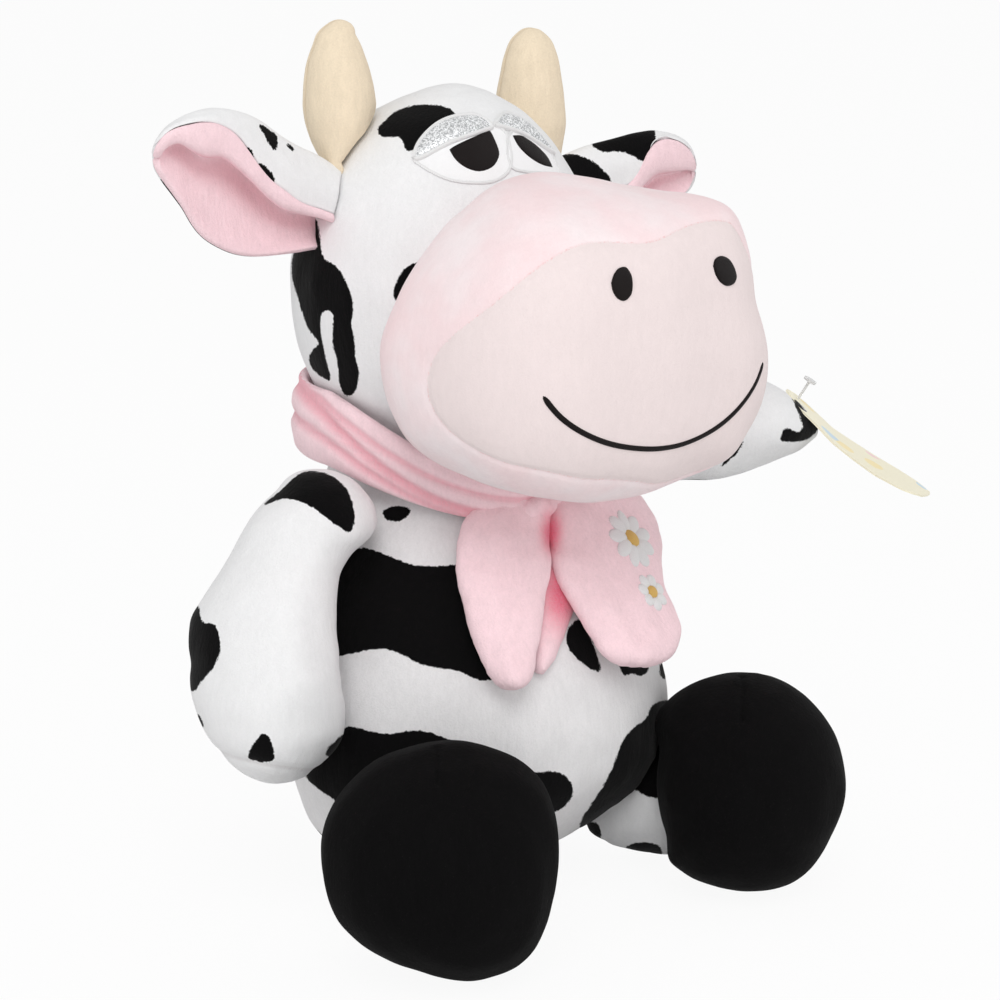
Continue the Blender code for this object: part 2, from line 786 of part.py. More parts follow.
def ear_root(side):
    """Gives where an ear turns: beside the head, a rounded root's radius away from it."""
    place = (EAR_Z[side] - HEAD_CENTRE_Z) / HEAD_CROWN_HEIGHT
    beside = HEAD_HALF_WIDTH * share_at(HEAD_STATION_SHARES, place, 1)
    reach = beside + EAR_THICKNESS / 2.0 + EAR_ROOT_SLACK[side]
    return Vector((SIDES[side] * reach, EAR_Y, EAR_Z[side]))


def make_ears(head_pivot):
    """Makes each ear's back and its pink lining, turning on the upright root."""
    for side, sign in SIDES.items():
        root = ear_root(side) - head_pivot.location
        turn = (0.0, -sign * math.radians(EAR_LIFT_DEGREES[side]), 0.0)
        pivot = empty("ear_pivot_" + side, root, turn)
        pivot.parent = head_pivot
        half = EAR_THICKNESS / 2.0
        behind = (EAR_LAYER_GAP, half)
        before = (-half * LINING_SHARE, -EAR_LAYER_GAP)
        leaf("ear_back_" + side, sign, behind, 1.0, white_plush(), pivot)
        leaf("ear_lining_" + side, sign, before, LINING_SHARE, pink_plush(), pivot)


def leaf(name, sign, levels, width_share, finish, pivot):
    """Makes one layer of an ear, between two levels front to back, rounded at the root."""
    rows = []
    half = EAR_THICKNESS / 2.0
    for share in EAR_ROOT_ROUND_SHARES:
        round_share = math.sqrt(1.0 - share * share)
        rows.append((-half * share, EAR_STATION_SHARES[0][1], round_share))
    for share, width in EAR_STATION_SHARES:
        rows.append((EAR_LENGTH * share, width, 1.0))
    rings = []
    for reach, width, thickness in rows:
        ring = []
        for level in levels:
            columns = list(range(EAR_WIDTH_STEPS + 1))
            if level == levels[1]:
                columns.reverse()
            for column in columns:
                across = (2.0 * column / EAR_WIDTH_STEPS - 1.0) * width_share
                height = EAR_HALF_WIDTH * width * across
                depth = level * thickness - EAR_CUP * (height / EAR_HALF_WIDTH) ** 2
                ring.append(Vector((sign * reach, depth, height)))
        rings.append(ring)
    return add_object(name, lofted(name, rings), finish, pivot)


def shoulder(sign):
    return Vector((sign * SHOULDER_X, SHOULDER_Y, SHOULDER_Z))


def hip(sign):
    return Vector((sign * HIP_X, HIP_Y, HIP_Z))


def arm_mesh(name, side):
    """Makes an arm hanging from its ball, bowed outwards."""
    sign = SIDES[side]
    rings = ball_rings(SHOULDER_RADIUS, ARM_BALL_DEGREES, LIMB_SIDES)
    for reach, bow, thickness, width in ARM_STATION_SHARES[side]:
        centre = Vector((sign * ARM_REACH * bow, 0.0, -ARM_REACH * reach))
        half = ARM_HALF_THICKNESS[side] * thickness
        rings.append(oval_ring(centre, half, ARM_HALF_WIDTH * width, LIMB_SIDES))
    return lofted(name, rings)


def arm_turn(side):
    """Gives an arm's turn from hanging: the right one swings forward, the left one is raised."""
    if side == "right":
        return Euler((-RIGHT_ARM_SWING, 0.0, 0.0))
    return Euler((0.0, -LEFT_ARM_RAISE, -LEFT_ARM_FORWARD))


def make_arms():
    """Makes each arm's skin, end panel and filling on the shoulder's pivot."""
    pivots = {}
    for side, sign in SIDES.items():
        pivot = empty("arm_pivot_" + side, shoulder(sign), arm_turn(side))
        pivots[side] = pivot
        skin = add_object("arm_skin_" + side, arm_mesh("arm_skin_" + side, side), white_plush(), pivot)
        end = add_object("arm_end_" + side, skin.data.copy(), white_plush(), pivot)
        hollow = guide(add_object("arm_hollow_" + side, swollen(skin.data, -SKIN), stuffing(), pivot))
        add_object("arm_filling_" + side, swollen(skin.data, -SKIN - GAP), stuffing(), pivot)
        seam = -ARM_REACH * ARM_PANEL_SHARE
        wide = ARM_REACH
        low = Vector((-wide, -wide, -wide - CUT_OVERRUN))
        high = Vector((wide, wide, wide))
        above = slab_cutter("arm_above_" + side, Vector((-wide, -wide, seam)), high, pivot)
        below = slab_cutter("arm_below_" + side, low, Vector((wide, wide, seam + GAP)), pivot)
        cut(skin, hollow)
        cut(end, hollow)
        cut(skin, below)
        cut(end, above)
        towards_body = Vector((-sign * (SHOULDER_RADIUS + SKIN), 0.0, 0.0))
        inwards = arm_turn(side).to_matrix().inverted() @ towards_body
        cut(skin, rod_cutter("arm_mouth_" + side, Vector(), inwards, ARM_OPENING_RADIUS, pivot))
    return pivots


def foot_frame(sign):
    """Gives the foot's own frame, from the hip: its middle, turned with the toes."""
    place = Vector((sign * FOOT_X, FOOT_Y, FOOT_HALF_HEIGHT - SEAT_FLAT)) - hip(sign)
    return Matrix.Translation(place) @ Matrix.Rotation(sign * FOOT_TURN, 4, "Z")


def foot_mesh(name, sign):
    """Makes the foot's ball, ringed from heel to toe."""
    rings = []
    for latitude in FOOT_RING_DEGREES:
        turn = math.radians(latitude)
        ring = []
        for index in range(FOOT_SIDES):
            angle = math.tau * index / FOOT_SIDES
            across = FOOT_HALF_WIDTH * math.cos(turn) * math.cos(angle)
            height = FOOT_HALF_HEIGHT * math.cos(turn) * math.sin(angle)
            ring.append(foot_frame(sign) @ Vector((across, FOOT_HALF_DEPTH * math.sin(turn), height)))
        rings.append(ring)
    return lofted(name, rings)


def leg_mesh(name, sign):
    """Makes the leg from its ball at the hip to the middle of the foot."""
    middle = foot_frame(sign).translation
    turn = (-middle).to_track_quat("Z", "Y").to_matrix()
    rings = ball_rings(HIP_RADIUS, LEG_BALL_DEGREES, LIMB_SIDES)
    for share in LEG_STATION_SHARES:
        centre = Vector((0.0, 0.0, -middle.length * share))
        rings.append(oval_ring(centre, LEG_RADIUS, LEG_RADIUS, LIMB_SIDES))
    return lofted(name, [[turn @ point for point in ring] for ring in rings])


def make_legs():
    """Makes each leg's skin, the foot's skin and the filling of both."""
    for side, sign in SIDES.items():
        pivot = empty("leg_pivot_" + side, hip(sign))
        leg = add_object("leg_skin_" + side, leg_mesh("leg_skin_" + side, sign), white_plush(), pivot)
        foot = add_object("foot_skin_" + side, foot_mesh("foot_skin_" + side, sign), black_plush(), pivot)
        leg_hollow = guide(add_object("leg_hollow_" + side, swollen(leg.data, -SKIN), stuffing(), pivot))
        foot_hollow = guide(add_object("foot_hollow_" + side, swollen(foot.data, -SKIN), stuffing(), pivot))
        foot_trim = guide(add_object("foot_trim_" + side, swollen(foot.data, GAP), stuffing(), pivot))
        filling = add_object("leg_filling_" + side, swollen(leg.data, -SKIN - GAP), stuffing(), pivot)
        inner = guide(add_object("foot_core_" + side, swollen(foot.data, -SKIN - GAP), stuffing(), pivot))
        reach = FOOT_HALF_WIDTH + FOOT_HALF_WIDTH
        middle = foot_frame(sign).translation
        low = middle - Vector((reach, reach, reach))
        high = middle + Vector((reach, reach, SEAT_FLAT - FOOT_HALF_HEIGHT))
        floor = slab_cutter("foot_floor_" + side, low, high, pivot)
        cut(leg, leg_hollow)
        cut(leg, foot_trim)
        cut(foot, foot_hollow)
        cut(foot, leg_hollow)
        cut(foot, floor)
        cut(filling, inner, "UNION")


def scarf_section(angle):
    """Gives the scarf's cut edge at an angle from the front, drawn under the muzzle there."""
    front = max(math.cos(angle), 0.0) ** SCARF_FRONT_POWER
    top = SCARF_TOP - SCARF_FRONT_DROP * front
    bottom = SCARF_BOTTOM - SCARF_BOTTOM_DROP * front
    outward = Vector((math.sin(angle), -math.cos(angle), 0.0))
    centre = Vector((0.0, HEAD_CENTRE_Y, 0.0))
    ring = []
    for rise, reach in SCARF_SECTION_SHARES:
        fold = SCARF_FOLD * math.sin(math.tau * rise + SCARF_FOLDS * angle) * reach
        radius = SCARF_INNER_RADIUS + SCARF_THICKNESS * reach + fold
        ring.append(centre + outward * radius + Vector((0.0, 0.0, bottom + (top - bottom) * rise)))
    return ring


def make_scarf():
    """Makes the scarf's band and its knot."""
    shape = bmesh.new()
    loops = []
    for step in range(SCARF_SIDES):
        loops.append([shape.verts.new(point) for point in scarf_section(math.tau * step / SCARF_SIDES)])
    for index, loop in enumerate(loops):
        following = loops[(index + 1) % SCARF_SIDES]
        for corner in range(len(loop)):
            beside = (corner + 1) % len(loop)
            shape.faces.new((loop[corner], loop[beside], following[beside], following[corner]))
    add_object("scarf_band", finish_mesh(shape, "scarf_band"), pink_plush())
    middle = knot_middle()
    rings = []
    for latitude in KNOT_RING_DEGREES:
        turn = math.radians(latitude)
        centre = middle + Vector((0.0, 0.0, KNOT_HALF_HEIGHT * math.sin(turn)))
        girth = math.cos(turn)
        rings.append(oval_ring(centre, KNOT_HALF_WIDTH * girth, KNOT_HALF_DEPTH * girth, TRIM_SIDES))
    add_object("scarf_knot", lofted("scarf_knot", rings), pink_plush())


def knot_middle():
    """Gives the knot's middle, tied just in front of the band."""
    front = SCARF_INNER_RADIUS + SCARF_THICKNESS + SCARF_FOLD * KNOT_FOLD_SHARE + GAP + KNOT_HALF_DEPTH
    return Vector((0.0, HEAD_CENTRE_Y - front, KNOT_Z))


def strap_root(sign):
    """Gives where a hanging end turns, just clear of the knot's underside."""
    across = math.sin(STRAP_ROOT_ANGLE)
    down = math.cos(STRAP_ROOT_ANGLE)
    knot = 1.0 / math.hypot(across / KNOT_HALF_WIDTH, down / KNOT_HALF_HEIGHT)
    reach = knot + STRAP_ROOT_RADIUS + GAP
    return knot_middle() + Vector((sign * across * reach, 0.0, -down * reach))


def strap_frame(side):
    """Gives a hanging end's frame, from its root: -Z runs to its tip and -Y faces out."""
    along = Vector(STRAP_TIP[side]) - strap_root(SIDES[side])
    up = -along.normalized()
    back = up.cross(Vector((1.0, 0.0, 0.0))).normalized()
    frame = Matrix((back.cross(up), back, up)).transposed().to_4x4()
    return frame @ Matrix.Rotation(math.radians(STRAP_ROLL_DEGREES[side]), 4, "Z"), along.length


def strap_bow(side, share):
    """Gives how far a hanging end swings out sideways at a place along it."""
    return SIDES[side] * STRAP_HALF_WIDTH[side] * share_at(STRAP_STATION_SHARES, share, 3)


def make_straps():
    """Makes the scarf's two hanging ends and the round embroidered patch on the left one."""
    for side, sign in SIDES.items():
        pivot = empty("scarf_pivot_" + side, strap_root(sign))
        frame, length = strap_frame(side)
        rings = []
        for height in STRAP_BALL_SHARES:
            centre = Vector((0.0, 0.0, STRAP_ROOT_RADIUS * height))
            radius = STRAP_ROOT_RADIUS * math.sqrt(1.0 - height * height)
            rings.append(section_ring(frame, centre, radius, radius, TRIM_SIDES))
        for share, width, thickness, _ in STRAP_STATION_SHARES:
            centre = Vector((strap_bow(side, share), 0.0, -length * share))
            half = STRAP_HALF_WIDTH[side] * width
            rings.append(section_ring(frame, centre, half, STRAP_HALF_THICKNESS * thickness, TRIM_SIDES))
        name = "scarf_tail_" + side
        add_object(name, lofted(name, rings), pink_plush(), pivot)
        if side == "left":
            make_motif(frame, length, pivot)


def make_motif(frame, length, pivot):
    """Lays the embroidered patch on the left hanging end."""

    def surface(across, height):
        share = -height / length
        half = STRAP_HALF_WIDTH["left"] * share_at(STRAP_STATION_SHARES, share, 1)
        thickness = STRAP_HALF_THICKNESS * share_at(STRAP_STATION_SHARES, share, 2)
        offset = across - strap_bow("left", share)
        depth = thickness * math.sqrt(max(1.0 - (offset / half) ** 2, 0.0))
        return frame @ Vector((across, -depth, height))

    middle = Vector((strap_bow("left", MOTIF_PLACE_SHARE), -length * MOTIF_PLACE_SHARE))
    outline = oval_outline(middle, MOTIF_RADIUS, MOTIF_RADIUS)
    item = patch("scarf_motif", outline, surface, PATCH_LIFT, white_plush())
    item.parent = pivot


def make_tail():
    """Makes the tail and its tuft behind the torso."""
    root = Vector((0.0, body_back(TAIL_ROOT_Z) + TAIL_ROOT_RADIUS + GAP + GAP, TAIL_ROOT_Z))
    pivot = empty("tail_pivot", root)
    rings = ball_rings(TAIL_ROOT_RADIUS, ARM_BALL_DEGREES, TRIM_SIDES)
    for share in TAIL_STATION_SHARES:
        centre = Vector((0.0, TAIL_SWING_OUT * share * share, -TAIL_LENGTH * share))
        rings.append(oval_ring(centre, TAIL_RADIUS, TAIL_RADIUS, TRIM_SIDES))
    add_object("tail", lofted("tail", rings), white_plush(), pivot)
    rings = []
    for share, width in TUFT_STATION_SHARES:
        centre = Vector((0.0, TAIL_SWING_OUT, -TAIL_LENGTH - GAP - TUFT_LENGTH * share))
        rings.append(oval_ring(centre, TUFT_RADIUS * width, TUFT_RADIUS * width, TRIM_SIDES))
    add_object("tail_tuft", lofted("tail_tuft", rings), black_plush(), pivot)


def tag_frame():
    """Gives the tag's frame at its hole: -X runs down the card and Z stands off the hand."""
    turn = arm_turn("left").to_matrix()
    stations = ARM_STATION_SHARES["left"]
    reach = ARM_REACH * TAG_PLACE_SHARE
    bow = ARM_REACH * share_at(stations, TAG_PLACE_SHARE, 1)
    normal = TAG_NORMAL.normalized()
    local = turn.inverted() @ normal
    centre = Vector((bow, 0.0, -reach))
    skin = surface_tree(arm_mesh("arm_form", "left")).ray_cast(centre + local * ARM_REACH, -local)[0]
    along = (TAG_DIRECTION - normal * TAG_DIRECTION.dot(normal)).normalized()
    across = normal.cross(along)
    hole = turn @ skin + normal * TAG_STAND_OFF
    return Matrix((along, across, normal)).transposed(), shoulder(1.0) + hole


def make_tag(arm_pivot):
    """Makes the card and the plastic pin that holds it on the left hand."""
    frame, hole = tag_frame()
    pivot = empty("tag_pivot", hole, frame.to_euler())
    outline = tag_outline()
    levels = (-TAG_THICKNESS / 2.0, TAG_THICKNESS / 2.0)
    rings = [[Vector((point.x, point.y, level)) for point in outline] for level in levels]
    card = add_object("hang_tag", lofted("hang_tag", rings), tag_card(), pivot)
    through = Vector((0.0, 0.0, TAG_STAND_OFF))
    cut(card, rod_cutter("tag_hole", -through, through, TAG_HOLE_RADIUS, pivot))
    foot = Vector((0.0, 0.0, PIN_FOOT_GAP - TAG_STAND_OFF))
    head = Vector((0.0, 0.0, TAG_STAND_OFF))
    rings = [oval_ring(foot, PIN_RADIUS, PIN_RADIUS, TRIM_SIDES)]
    rings.append(oval_ring(head, PIN_RADIUS, PIN_RADIUS, TRIM_SIDES))
    rings.append(oval_ring(head, PIN_HEAD_RADIUS, PIN_HEAD_RADIUS, TRIM_SIDES))
    top = head + Vector((0.0, 0.0, PIN_HEAD_THICKNESS))
    rings.append(oval_ring(top, PIN_HEAD_RADIUS, PIN_HEAD_RADIUS, TRIM_SIDES))
    pin = add_object("tag_pin", lofted("tag_pin", rings), clear_plastic())
    pin.data.transform(pivot_matrix(arm_pivot).inverted() @ pivot_matrix(pivot))
    pin.parent = arm_pivot


def tag_outline():
    """Gives the card's outline with round corners, from its hole."""
    near = TAG_CORNER - TAG_HOLE_INSET
    far = TAG_LENGTH - TAG_HOLE_INSET - TAG_CORNER
    side = TAG_WIDTH / 2.0 - TAG_CORNER
    corners = ((far, side, 0.0), (near, side, 90.0), (near, -side, 180.0), (far, -side, 270.0))
    points = []
    for along, across, start in corners:
        for step in range(TAG_CORNER_STEPS + 1):
            angle = math.radians(start + 90.0 * step / TAG_CORNER_STEPS)
            round_off = Vector((math.cos(angle), math.sin(angle), 0.0)) * TAG_CORNER
            points.append(Vector((along, across, 0.0)) + round_off)
    return points


def build():
    """Makes every piece of the cow."""
    clear_scene()
    make_torso()
    head_pivot = empty("head_pivot", head_centre())
    trim = make_head(head_pivot)
    make_muzzle(head_pivot, trim)
    make_face(head_pivot)
    make_horns(head_pivot, trim)
    make_ears(head_pivot)
    arm_pivots = make_arms()
    make_legs()
    make_scarf()
    make_straps()
    make_tail()
    make_tag(arm_pivots["left"])


build()
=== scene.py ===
"""A seated plush cow with a tied scarf and a swing tag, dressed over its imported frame.

The frame gives each solid its size and its place. This file grows the stuffed forms
from those solids, pulls the seams into them, lays the face and the spots on them and
gives each fabric its pile, dye and stitching. Lengths are in metres, +Z is up and the
cow looks along -Y. Distances that a finish reads from a mesh are in millimetres.
"""

from __future__ import annotations

import logging
import math
from collections.abc import Callable
from dataclasses import dataclass, field
from enum import Enum

import bpy
import numpy as np
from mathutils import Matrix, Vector
from mathutils.bvhtree import BVHTree


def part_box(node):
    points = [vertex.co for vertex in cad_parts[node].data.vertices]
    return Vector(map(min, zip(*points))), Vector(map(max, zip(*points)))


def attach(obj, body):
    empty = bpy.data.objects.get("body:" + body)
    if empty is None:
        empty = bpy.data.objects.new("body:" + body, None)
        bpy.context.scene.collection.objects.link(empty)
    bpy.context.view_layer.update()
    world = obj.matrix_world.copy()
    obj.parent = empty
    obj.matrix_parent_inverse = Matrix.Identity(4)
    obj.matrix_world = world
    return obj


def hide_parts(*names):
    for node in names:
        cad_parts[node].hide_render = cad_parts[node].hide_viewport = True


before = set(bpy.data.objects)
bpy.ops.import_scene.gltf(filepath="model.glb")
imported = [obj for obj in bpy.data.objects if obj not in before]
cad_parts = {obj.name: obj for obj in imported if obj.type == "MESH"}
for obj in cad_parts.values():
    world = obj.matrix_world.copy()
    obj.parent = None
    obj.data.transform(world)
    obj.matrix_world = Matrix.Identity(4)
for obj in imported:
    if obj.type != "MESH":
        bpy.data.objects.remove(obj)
LOG = logging.getLogger("plush_cow")
MILLI = 0.001
BALL_MERGE = 0.00002
LAYER_MERGE = 0.00005
PIECE_REACH = (1.0, 1.4)
NO_SPOT = -50.0
NO_SEAM = 50.0
LEFTOVERS = ("Cube", "Light", "Camera")

Array = np.ndarray
Piece = bpy.types.Object
Colour = tuple[float, float, float]
Place = tuple[float, float, float]
Pixel = tuple[float, float]


# Views of the cow


@dataclass(frozen=True)
class Sight:
    """The photograph's point of view, for a picture 1000 wide and 1000 high.

    Attributes:
        place: Where the camera stands.
        azimuth: How far it stands round to the cow's left of straight ahead, in degrees.
        elevation: How far it looks down, in degrees.
        focal: The lens's length, in pixels.
        middle: The pixel in the picture's middle, across and down.
        picture: The picture's width, in pixels.
        sensor: The width of the camera's sensor, in millimetres.
        near: The nearest that it sees.
    """

    place: Place = (-0.6755, -0.9083, 0.4319)
    azimuth: float = -37.49
    elevation: float = 13.5
    focal: float = 2800.0
    middle: float = 500.0
    picture: float = 1000.0
    sensor: float = 36.0
    near: float = 0.05

    def axes(self) -> tuple[Vector, Vector, Vector]:
        """Gives the picture's directions.

        Returns:
            The way right, the way up and the way back to the camera.
        """
        turn, lift = math.radians(self.azimuth), math.radians(self.elevation)
        back = Vector((math.sin(turn) * math.cos(lift), -math.cos(turn) * math.cos(lift), math.sin(lift)))
        right = Vector((math.cos(turn), math.sin(turn), 0.0))
        return right, back.cross(right), back

    def flatten(self, points: Array) -> Array:
        """Finds where points show in the picture.

        Args:
            points: Places on the cow, one a row.

        Returns:
            Their pixels, one a row, downwards from the top left corner.
        """
        right, up, back = (np.array(axis) for axis in self.axes())
        offset = points - np.array(self.place)
        depth = -offset @ back
        across = self.middle + self.focal * (offset @ right) / depth
        down = self.middle - self.focal * (offset @ up) / depth
        return np.stack([across, down], axis=1)

    def ray(self, pixel: Pixel) -> Vector:
        """Gives the direction in which a pixel looks.

        Args:
            pixel: A place in the picture.

        Returns:
            The direction from the camera, one long.
        """
        right, up, back = self.axes()
        across = (pixel[0] - self.middle) / self.focal
        rise = (self.middle - pixel[1]) / self.focal
        return (right * across + up * rise - back).normalized()

    def slide(self, points: Array, across: Array, down: Array) -> Array:
        """Moves points in the picture's plane.

        Args:
            points: Places on the cow, one a row.
            across: The pixels that each moves to the right.
            down: The pixels that each moves down.

        Returns:
            The moved points.
        """
        right, up, back = (np.array(axis) for axis in self.axes())
        size = -(points - np.array(self.place)) @ back / self.focal
        return points + (across * size)[:, None] * right - (down * size)[:, None] * up

    def on_plane(self, pixels: Array, middle: Array, way: Array, ahead: Array | float = 0.0) -> Array:
        """Finds the places that show at pixels, on a plane or so far ahead of it.

        Args:
            pixels: Places in the picture, one a row.
            middle: A point of the plane.
            way: The way out of the plane.
            ahead: How far out of the plane each place lies.

        Returns:
            The places.
        """
        start = np.array(self.place)
        ways = np.array([list(self.ray(pixel)) for pixel in pixels])
        reach = ((middle - start) @ way + ahead) / (ways @ way)
        return start + ways * reach[:, None]

    def camera(self) -> None:
        """Sets up the camera at the photograph's viewing angle and makes it the scene's."""
        right, up, back = self.axes()
        lens = bpy.data.cameras.new("camera")
        lens.sensor_width = self.sensor
        lens.lens = self.focal * self.sensor / self.picture
        lens.clip_start = self.near
        made = bpy.data.objects.new("camera", lens)
        bpy.context.scene.collection.objects.link(made)
        made.location = self.place
        made.rotation_mode = "QUATERNION"
        made.rotation_quaternion = (-back).to_track_quat("-Z", "Y")
        bpy.context.scene.camera = made


SIGHT = Sight()


class Look(Enum):
    """A side that a spot's outline is drawn from: the way right, up and back of that side."""

    PHOTO = ((0.0, 0.0, 0.0), (0.0, 0.0, 0.0), (-0.592, -0.771, 0.233))
    BACK = ((-1.0, 0.0, 0.0), (0.0, 0.0, 1.0), (0.0, 1.0, 0.0))
    LEFT = ((0.0, 1.0, 0.0), (0.0, 0.0, 1.0), (1.0, 0.0, 0.0))

    def flatten(self, points: Array) -> Array:
        """Lays points flat as this side shows them.

        Args:
            points: Places on the cow, one a row.

        Returns:
            Pixels for the photograph's side, and otherwise millimetres.
        """
        if self is Look.PHOTO:
            return SIGHT.flatten(points)
        right, up, _ = (np.array(axis) for axis in self.value)
        return np.stack([points @ right, points @ up], axis=1) / MILLI

    @property
    def scale(self) -> float:
        """The units of this side's outlines in a millimetre."""
        return 2.45 if self is Look.PHOTO else 1.0


def rounded(outline: tuple[Pixel, ...], times: int = 2) -> Array:
    """Rounds a closed outline by cutting its corners.

    Args:
        outline: Its corners.
        times: How often the corners are cut.

    Returns:
        The rounded outline's points, one a row.
    """
    ring = np.array(outline, dtype=float)
    for _ in range(times):
        following = np.roll(ring, -1, axis=0)
        ring = np.stack([ring * 0.75 + following * 0.25, ring * 0.25 + following * 0.75], axis=1).reshape(-1, 2)
    return ring


def depth_inside(points: Array, ring: Array) -> Array:
    """Measures how far points lie inside a closed outline.

    Args:
        points: Flat points, one a row.
        ring: The outline's points, one a row.

    Returns:
        The distance to the outline, below zero outside it.
    """
    nearest = np.full(len(points), 1e9)
    inside = np.zeros(len(points), dtype=bool)
    for start, end in zip(ring, np.roll(ring, -1, axis=0)):
        edge = end - start
        offset = points - start
        share = np.clip((offset @ edge) / max(float(edge @ edge), 1e-12), 0.0, 1.0)
        nearest = np.minimum(nearest, np.linalg.norm(offset - share[:, None] * edge, axis=1))
        if edge[1] != 0.0:
            straddles = (start[1] > points[:, 1]) != (end[1] > points[:, 1])
            crossing = start[0] + (points[:, 1] - start[1]) * edge[0] / edge[1]
            inside ^= straddles & (points[:, 0] < crossing)
    return np.where(inside, nearest, -nearest)


@dataclass(frozen=True)
class Spot:
    """One dyed patch of a cow's coat, drawn from one side.

    Attributes:
        look: The side that it is drawn from.
        outline: Its corners, in that side's units.
        past_edge: How far it goes on round the side's edge, as a cosine.
        fade: How steeply it ends there, in millimetres for a cosine of 1.
    """

    look: Look
    outline: tuple[Pixel, ...]
    past_edge: float = 0.30
    fade: float = 40.0

    def field(self, points: Array, normals: Array) -> Array:
        """Measures how far points lie inside the spot.

        Args:
            points: Places on the fabric, one a row.
            normals: The way out of the fabric at each.

        Returns:
            Millimetres inside, below zero outside.
        """
        flat = depth_inside(self.look.flatten(points), rounded(self.outline)) / self.look.scale
        facing = normals @ np.array(self.look.value[2])
        return np.minimum(flat, (facing + self.past_edge) * self.fade)


def dyed(spots: tuple[Spot, ...], points: Array, normals: Array) -> Array:
    """Measures how far points lie inside the nearest of some spots.

    Args:
        spots: The spots.
        points: Places on the fabric, one a row.
        normals: The way out of the fabric at each.

    Returns:
        Millimetres inside, below zero outside.
    """
    inside = np.full(len(points), NO_SPOT)
    for spot in spots:
        inside = np.maximum(inside, spot.field(points, normals))
    return inside


@dataclass(frozen=True)
class Edges:
    """Where a form's two edges show in the photograph, line by line.

    Attributes:
        lines: For each line of the picture its pixel and those of both edges there, or
            None for an edge that stays.
        upright: Whether the lines run down the picture and the edges are top and bottom.
        fade: How far past the first and the last line the move fades out, in pixels.
        near: How far from a line its edges are looked for, in pixels.
    """

    lines: tuple[tuple[float, float | None, float | None], ...]
    upright: bool = False
    fade: float = 30.0
    near: float = 4.0

    def fit(self, points: Array) -> Array:
        """Moves a form's points in the picture's plane until its edges show there.

        Args:
            points: The form's points, one a row.

        Returns:
            The moved points.
        """
        flat = SIGHT.flatten(points)
        line, cross = (flat[:, 0], flat[:, 1]) if self.upright else (flat[:, 1], flat[:, 0])
        at, moves, ends = [], [], []
        for place, first, last in self.lines:
            near = cross[np.abs(line - place) < self.near]
            if not len(near):
                continue
            low, high = float(near.min()), float(near.max())
            at.append(place)
            ends.append((low, high))
            moves.append((0.0 if first is None else first - low, 0.0 if last is None else last - high))
        at = [at[0] - self.fade, *at, at[-1] + self.fade]
        moves = np.array([(0.0, 0.0), *moves, (0.0, 0.0)])
        ends = np.array([ends[0], *ends, ends[-1]])
        low, high = (np.interp(line, at, ends[:, side]) for side in (0, 1))
        first, last = (np.interp(line, at, moves[:, side]) for side in (0, 1))
        share = np.clip((cross - low) / np.maximum(high - low, 1.0), 0.0, 1.0)
        shift = first * (1.0 - share) + last * share
        still = np.zeros(len(points))
        return SIGHT.slide(points, still, shift) if self.upright else SIGHT.slide(points, shift, still)


@dataclass(frozen=True)
class Ring:
    """A form's outline in the photograph, as seen from a pixel inside it.

    Attributes:
        middle: That pixel.
        outline: The outline's pixels in order, all the way round or only part of it.
        closed: Whether they go all the way round.
        fade: How far past an open outline's ends the move fades out, as an angle.
        steps: In how many directions the form's own outline is measured.
        near: How far from a direction it is looked for, as an angle.
    """

    middle: Pixel
    outline: tuple[Pixel, ...]
    closed: bool = True
    fade: float = 0.25
    steps: int = 91
    near: float = 0.05

    def fit(self, points: Array) -> Array:
        """Moves a form's points in the picture's plane until its outline shows there.

        Args:
            points: The form's points, one a row.

        Returns:
            The moved points.
        """
        flat = SIGHT.flatten(points) - np.array(self.middle)
        turn, reach = np.arctan2(flat[:, 1], flat[:, 0]), np.hypot(flat[:, 0], flat[:, 1])
        goal = np.array(self.outline, dtype=float) - np.array(self.middle)
        goal_turn = np.unwrap(np.arctan2(goal[:, 1], goal[:, 0]))
        steps = np.linspace(-math.pi, math.pi, self.steps)
        apart = np.abs((turn[:, None] - steps[None, :] + math.pi) % math.tau - math.pi)
        present = np.where(apart < self.near, reach[:, None], 1.0).max(axis=0)
        wanted = np.interp(steps, goal_turn, np.hypot(goal[:, 0], goal[:, 1]), period=math.tau)
        weight = np.ones(len(steps))
        if not self.closed:
            span = abs(goal_turn[-1] - goal_turn[0])
            past = np.maximum((steps - goal_turn.min()) % math.tau - span, 0.0)
            weight = 1.0 - smooth_step(np.minimum(past, math.tau - span - past), 0.0, self.fade)
        growth = np.interp(turn, steps, (wanted / present - 1.0) * weight)
        share = np.clip(reach / np.interp(turn, steps, present), 0.0, 1.0) ** 2
        return SIGHT.slide(points, flat[:, 0] * growth * share, flat[:, 1] * growth * share)


# Meshes


def deselect() -> None:
    """Leaves nothing selected, because an operator acts on all that is."""
    bpy.ops.object.select_all(action="DESELECT")


def take_up(obj: Piece) -> None:
    """Selects one object alone and makes it the active one.

    Args:
        obj: The object.
    """
    deselect()
    obj.select_set(True)
    bpy.context.view_layer.objects.active = obj


def newest(name: str) -> Piece:
    """Names the active object, such as a primitive just added, and gives it.

    Args:
        name: Its new name.

    Returns:
        The object.
    """
    made = bpy.context.view_layer.objects.active
    made.name = made.data.name = name
    return made


def join(parts: list[Piece], name: str) -> Piece:
    """Joins pieces into one and names it.

    Args:
        parts: The pieces.
        name: The joined piece's name.

    Returns:
        The joined piece.
    """
    take_up(parts[0])
    for part in parts[1:]:
        part.select_set(True)
    if len(parts) > 1:
        bpy.ops.object.join()
    return newest(name)


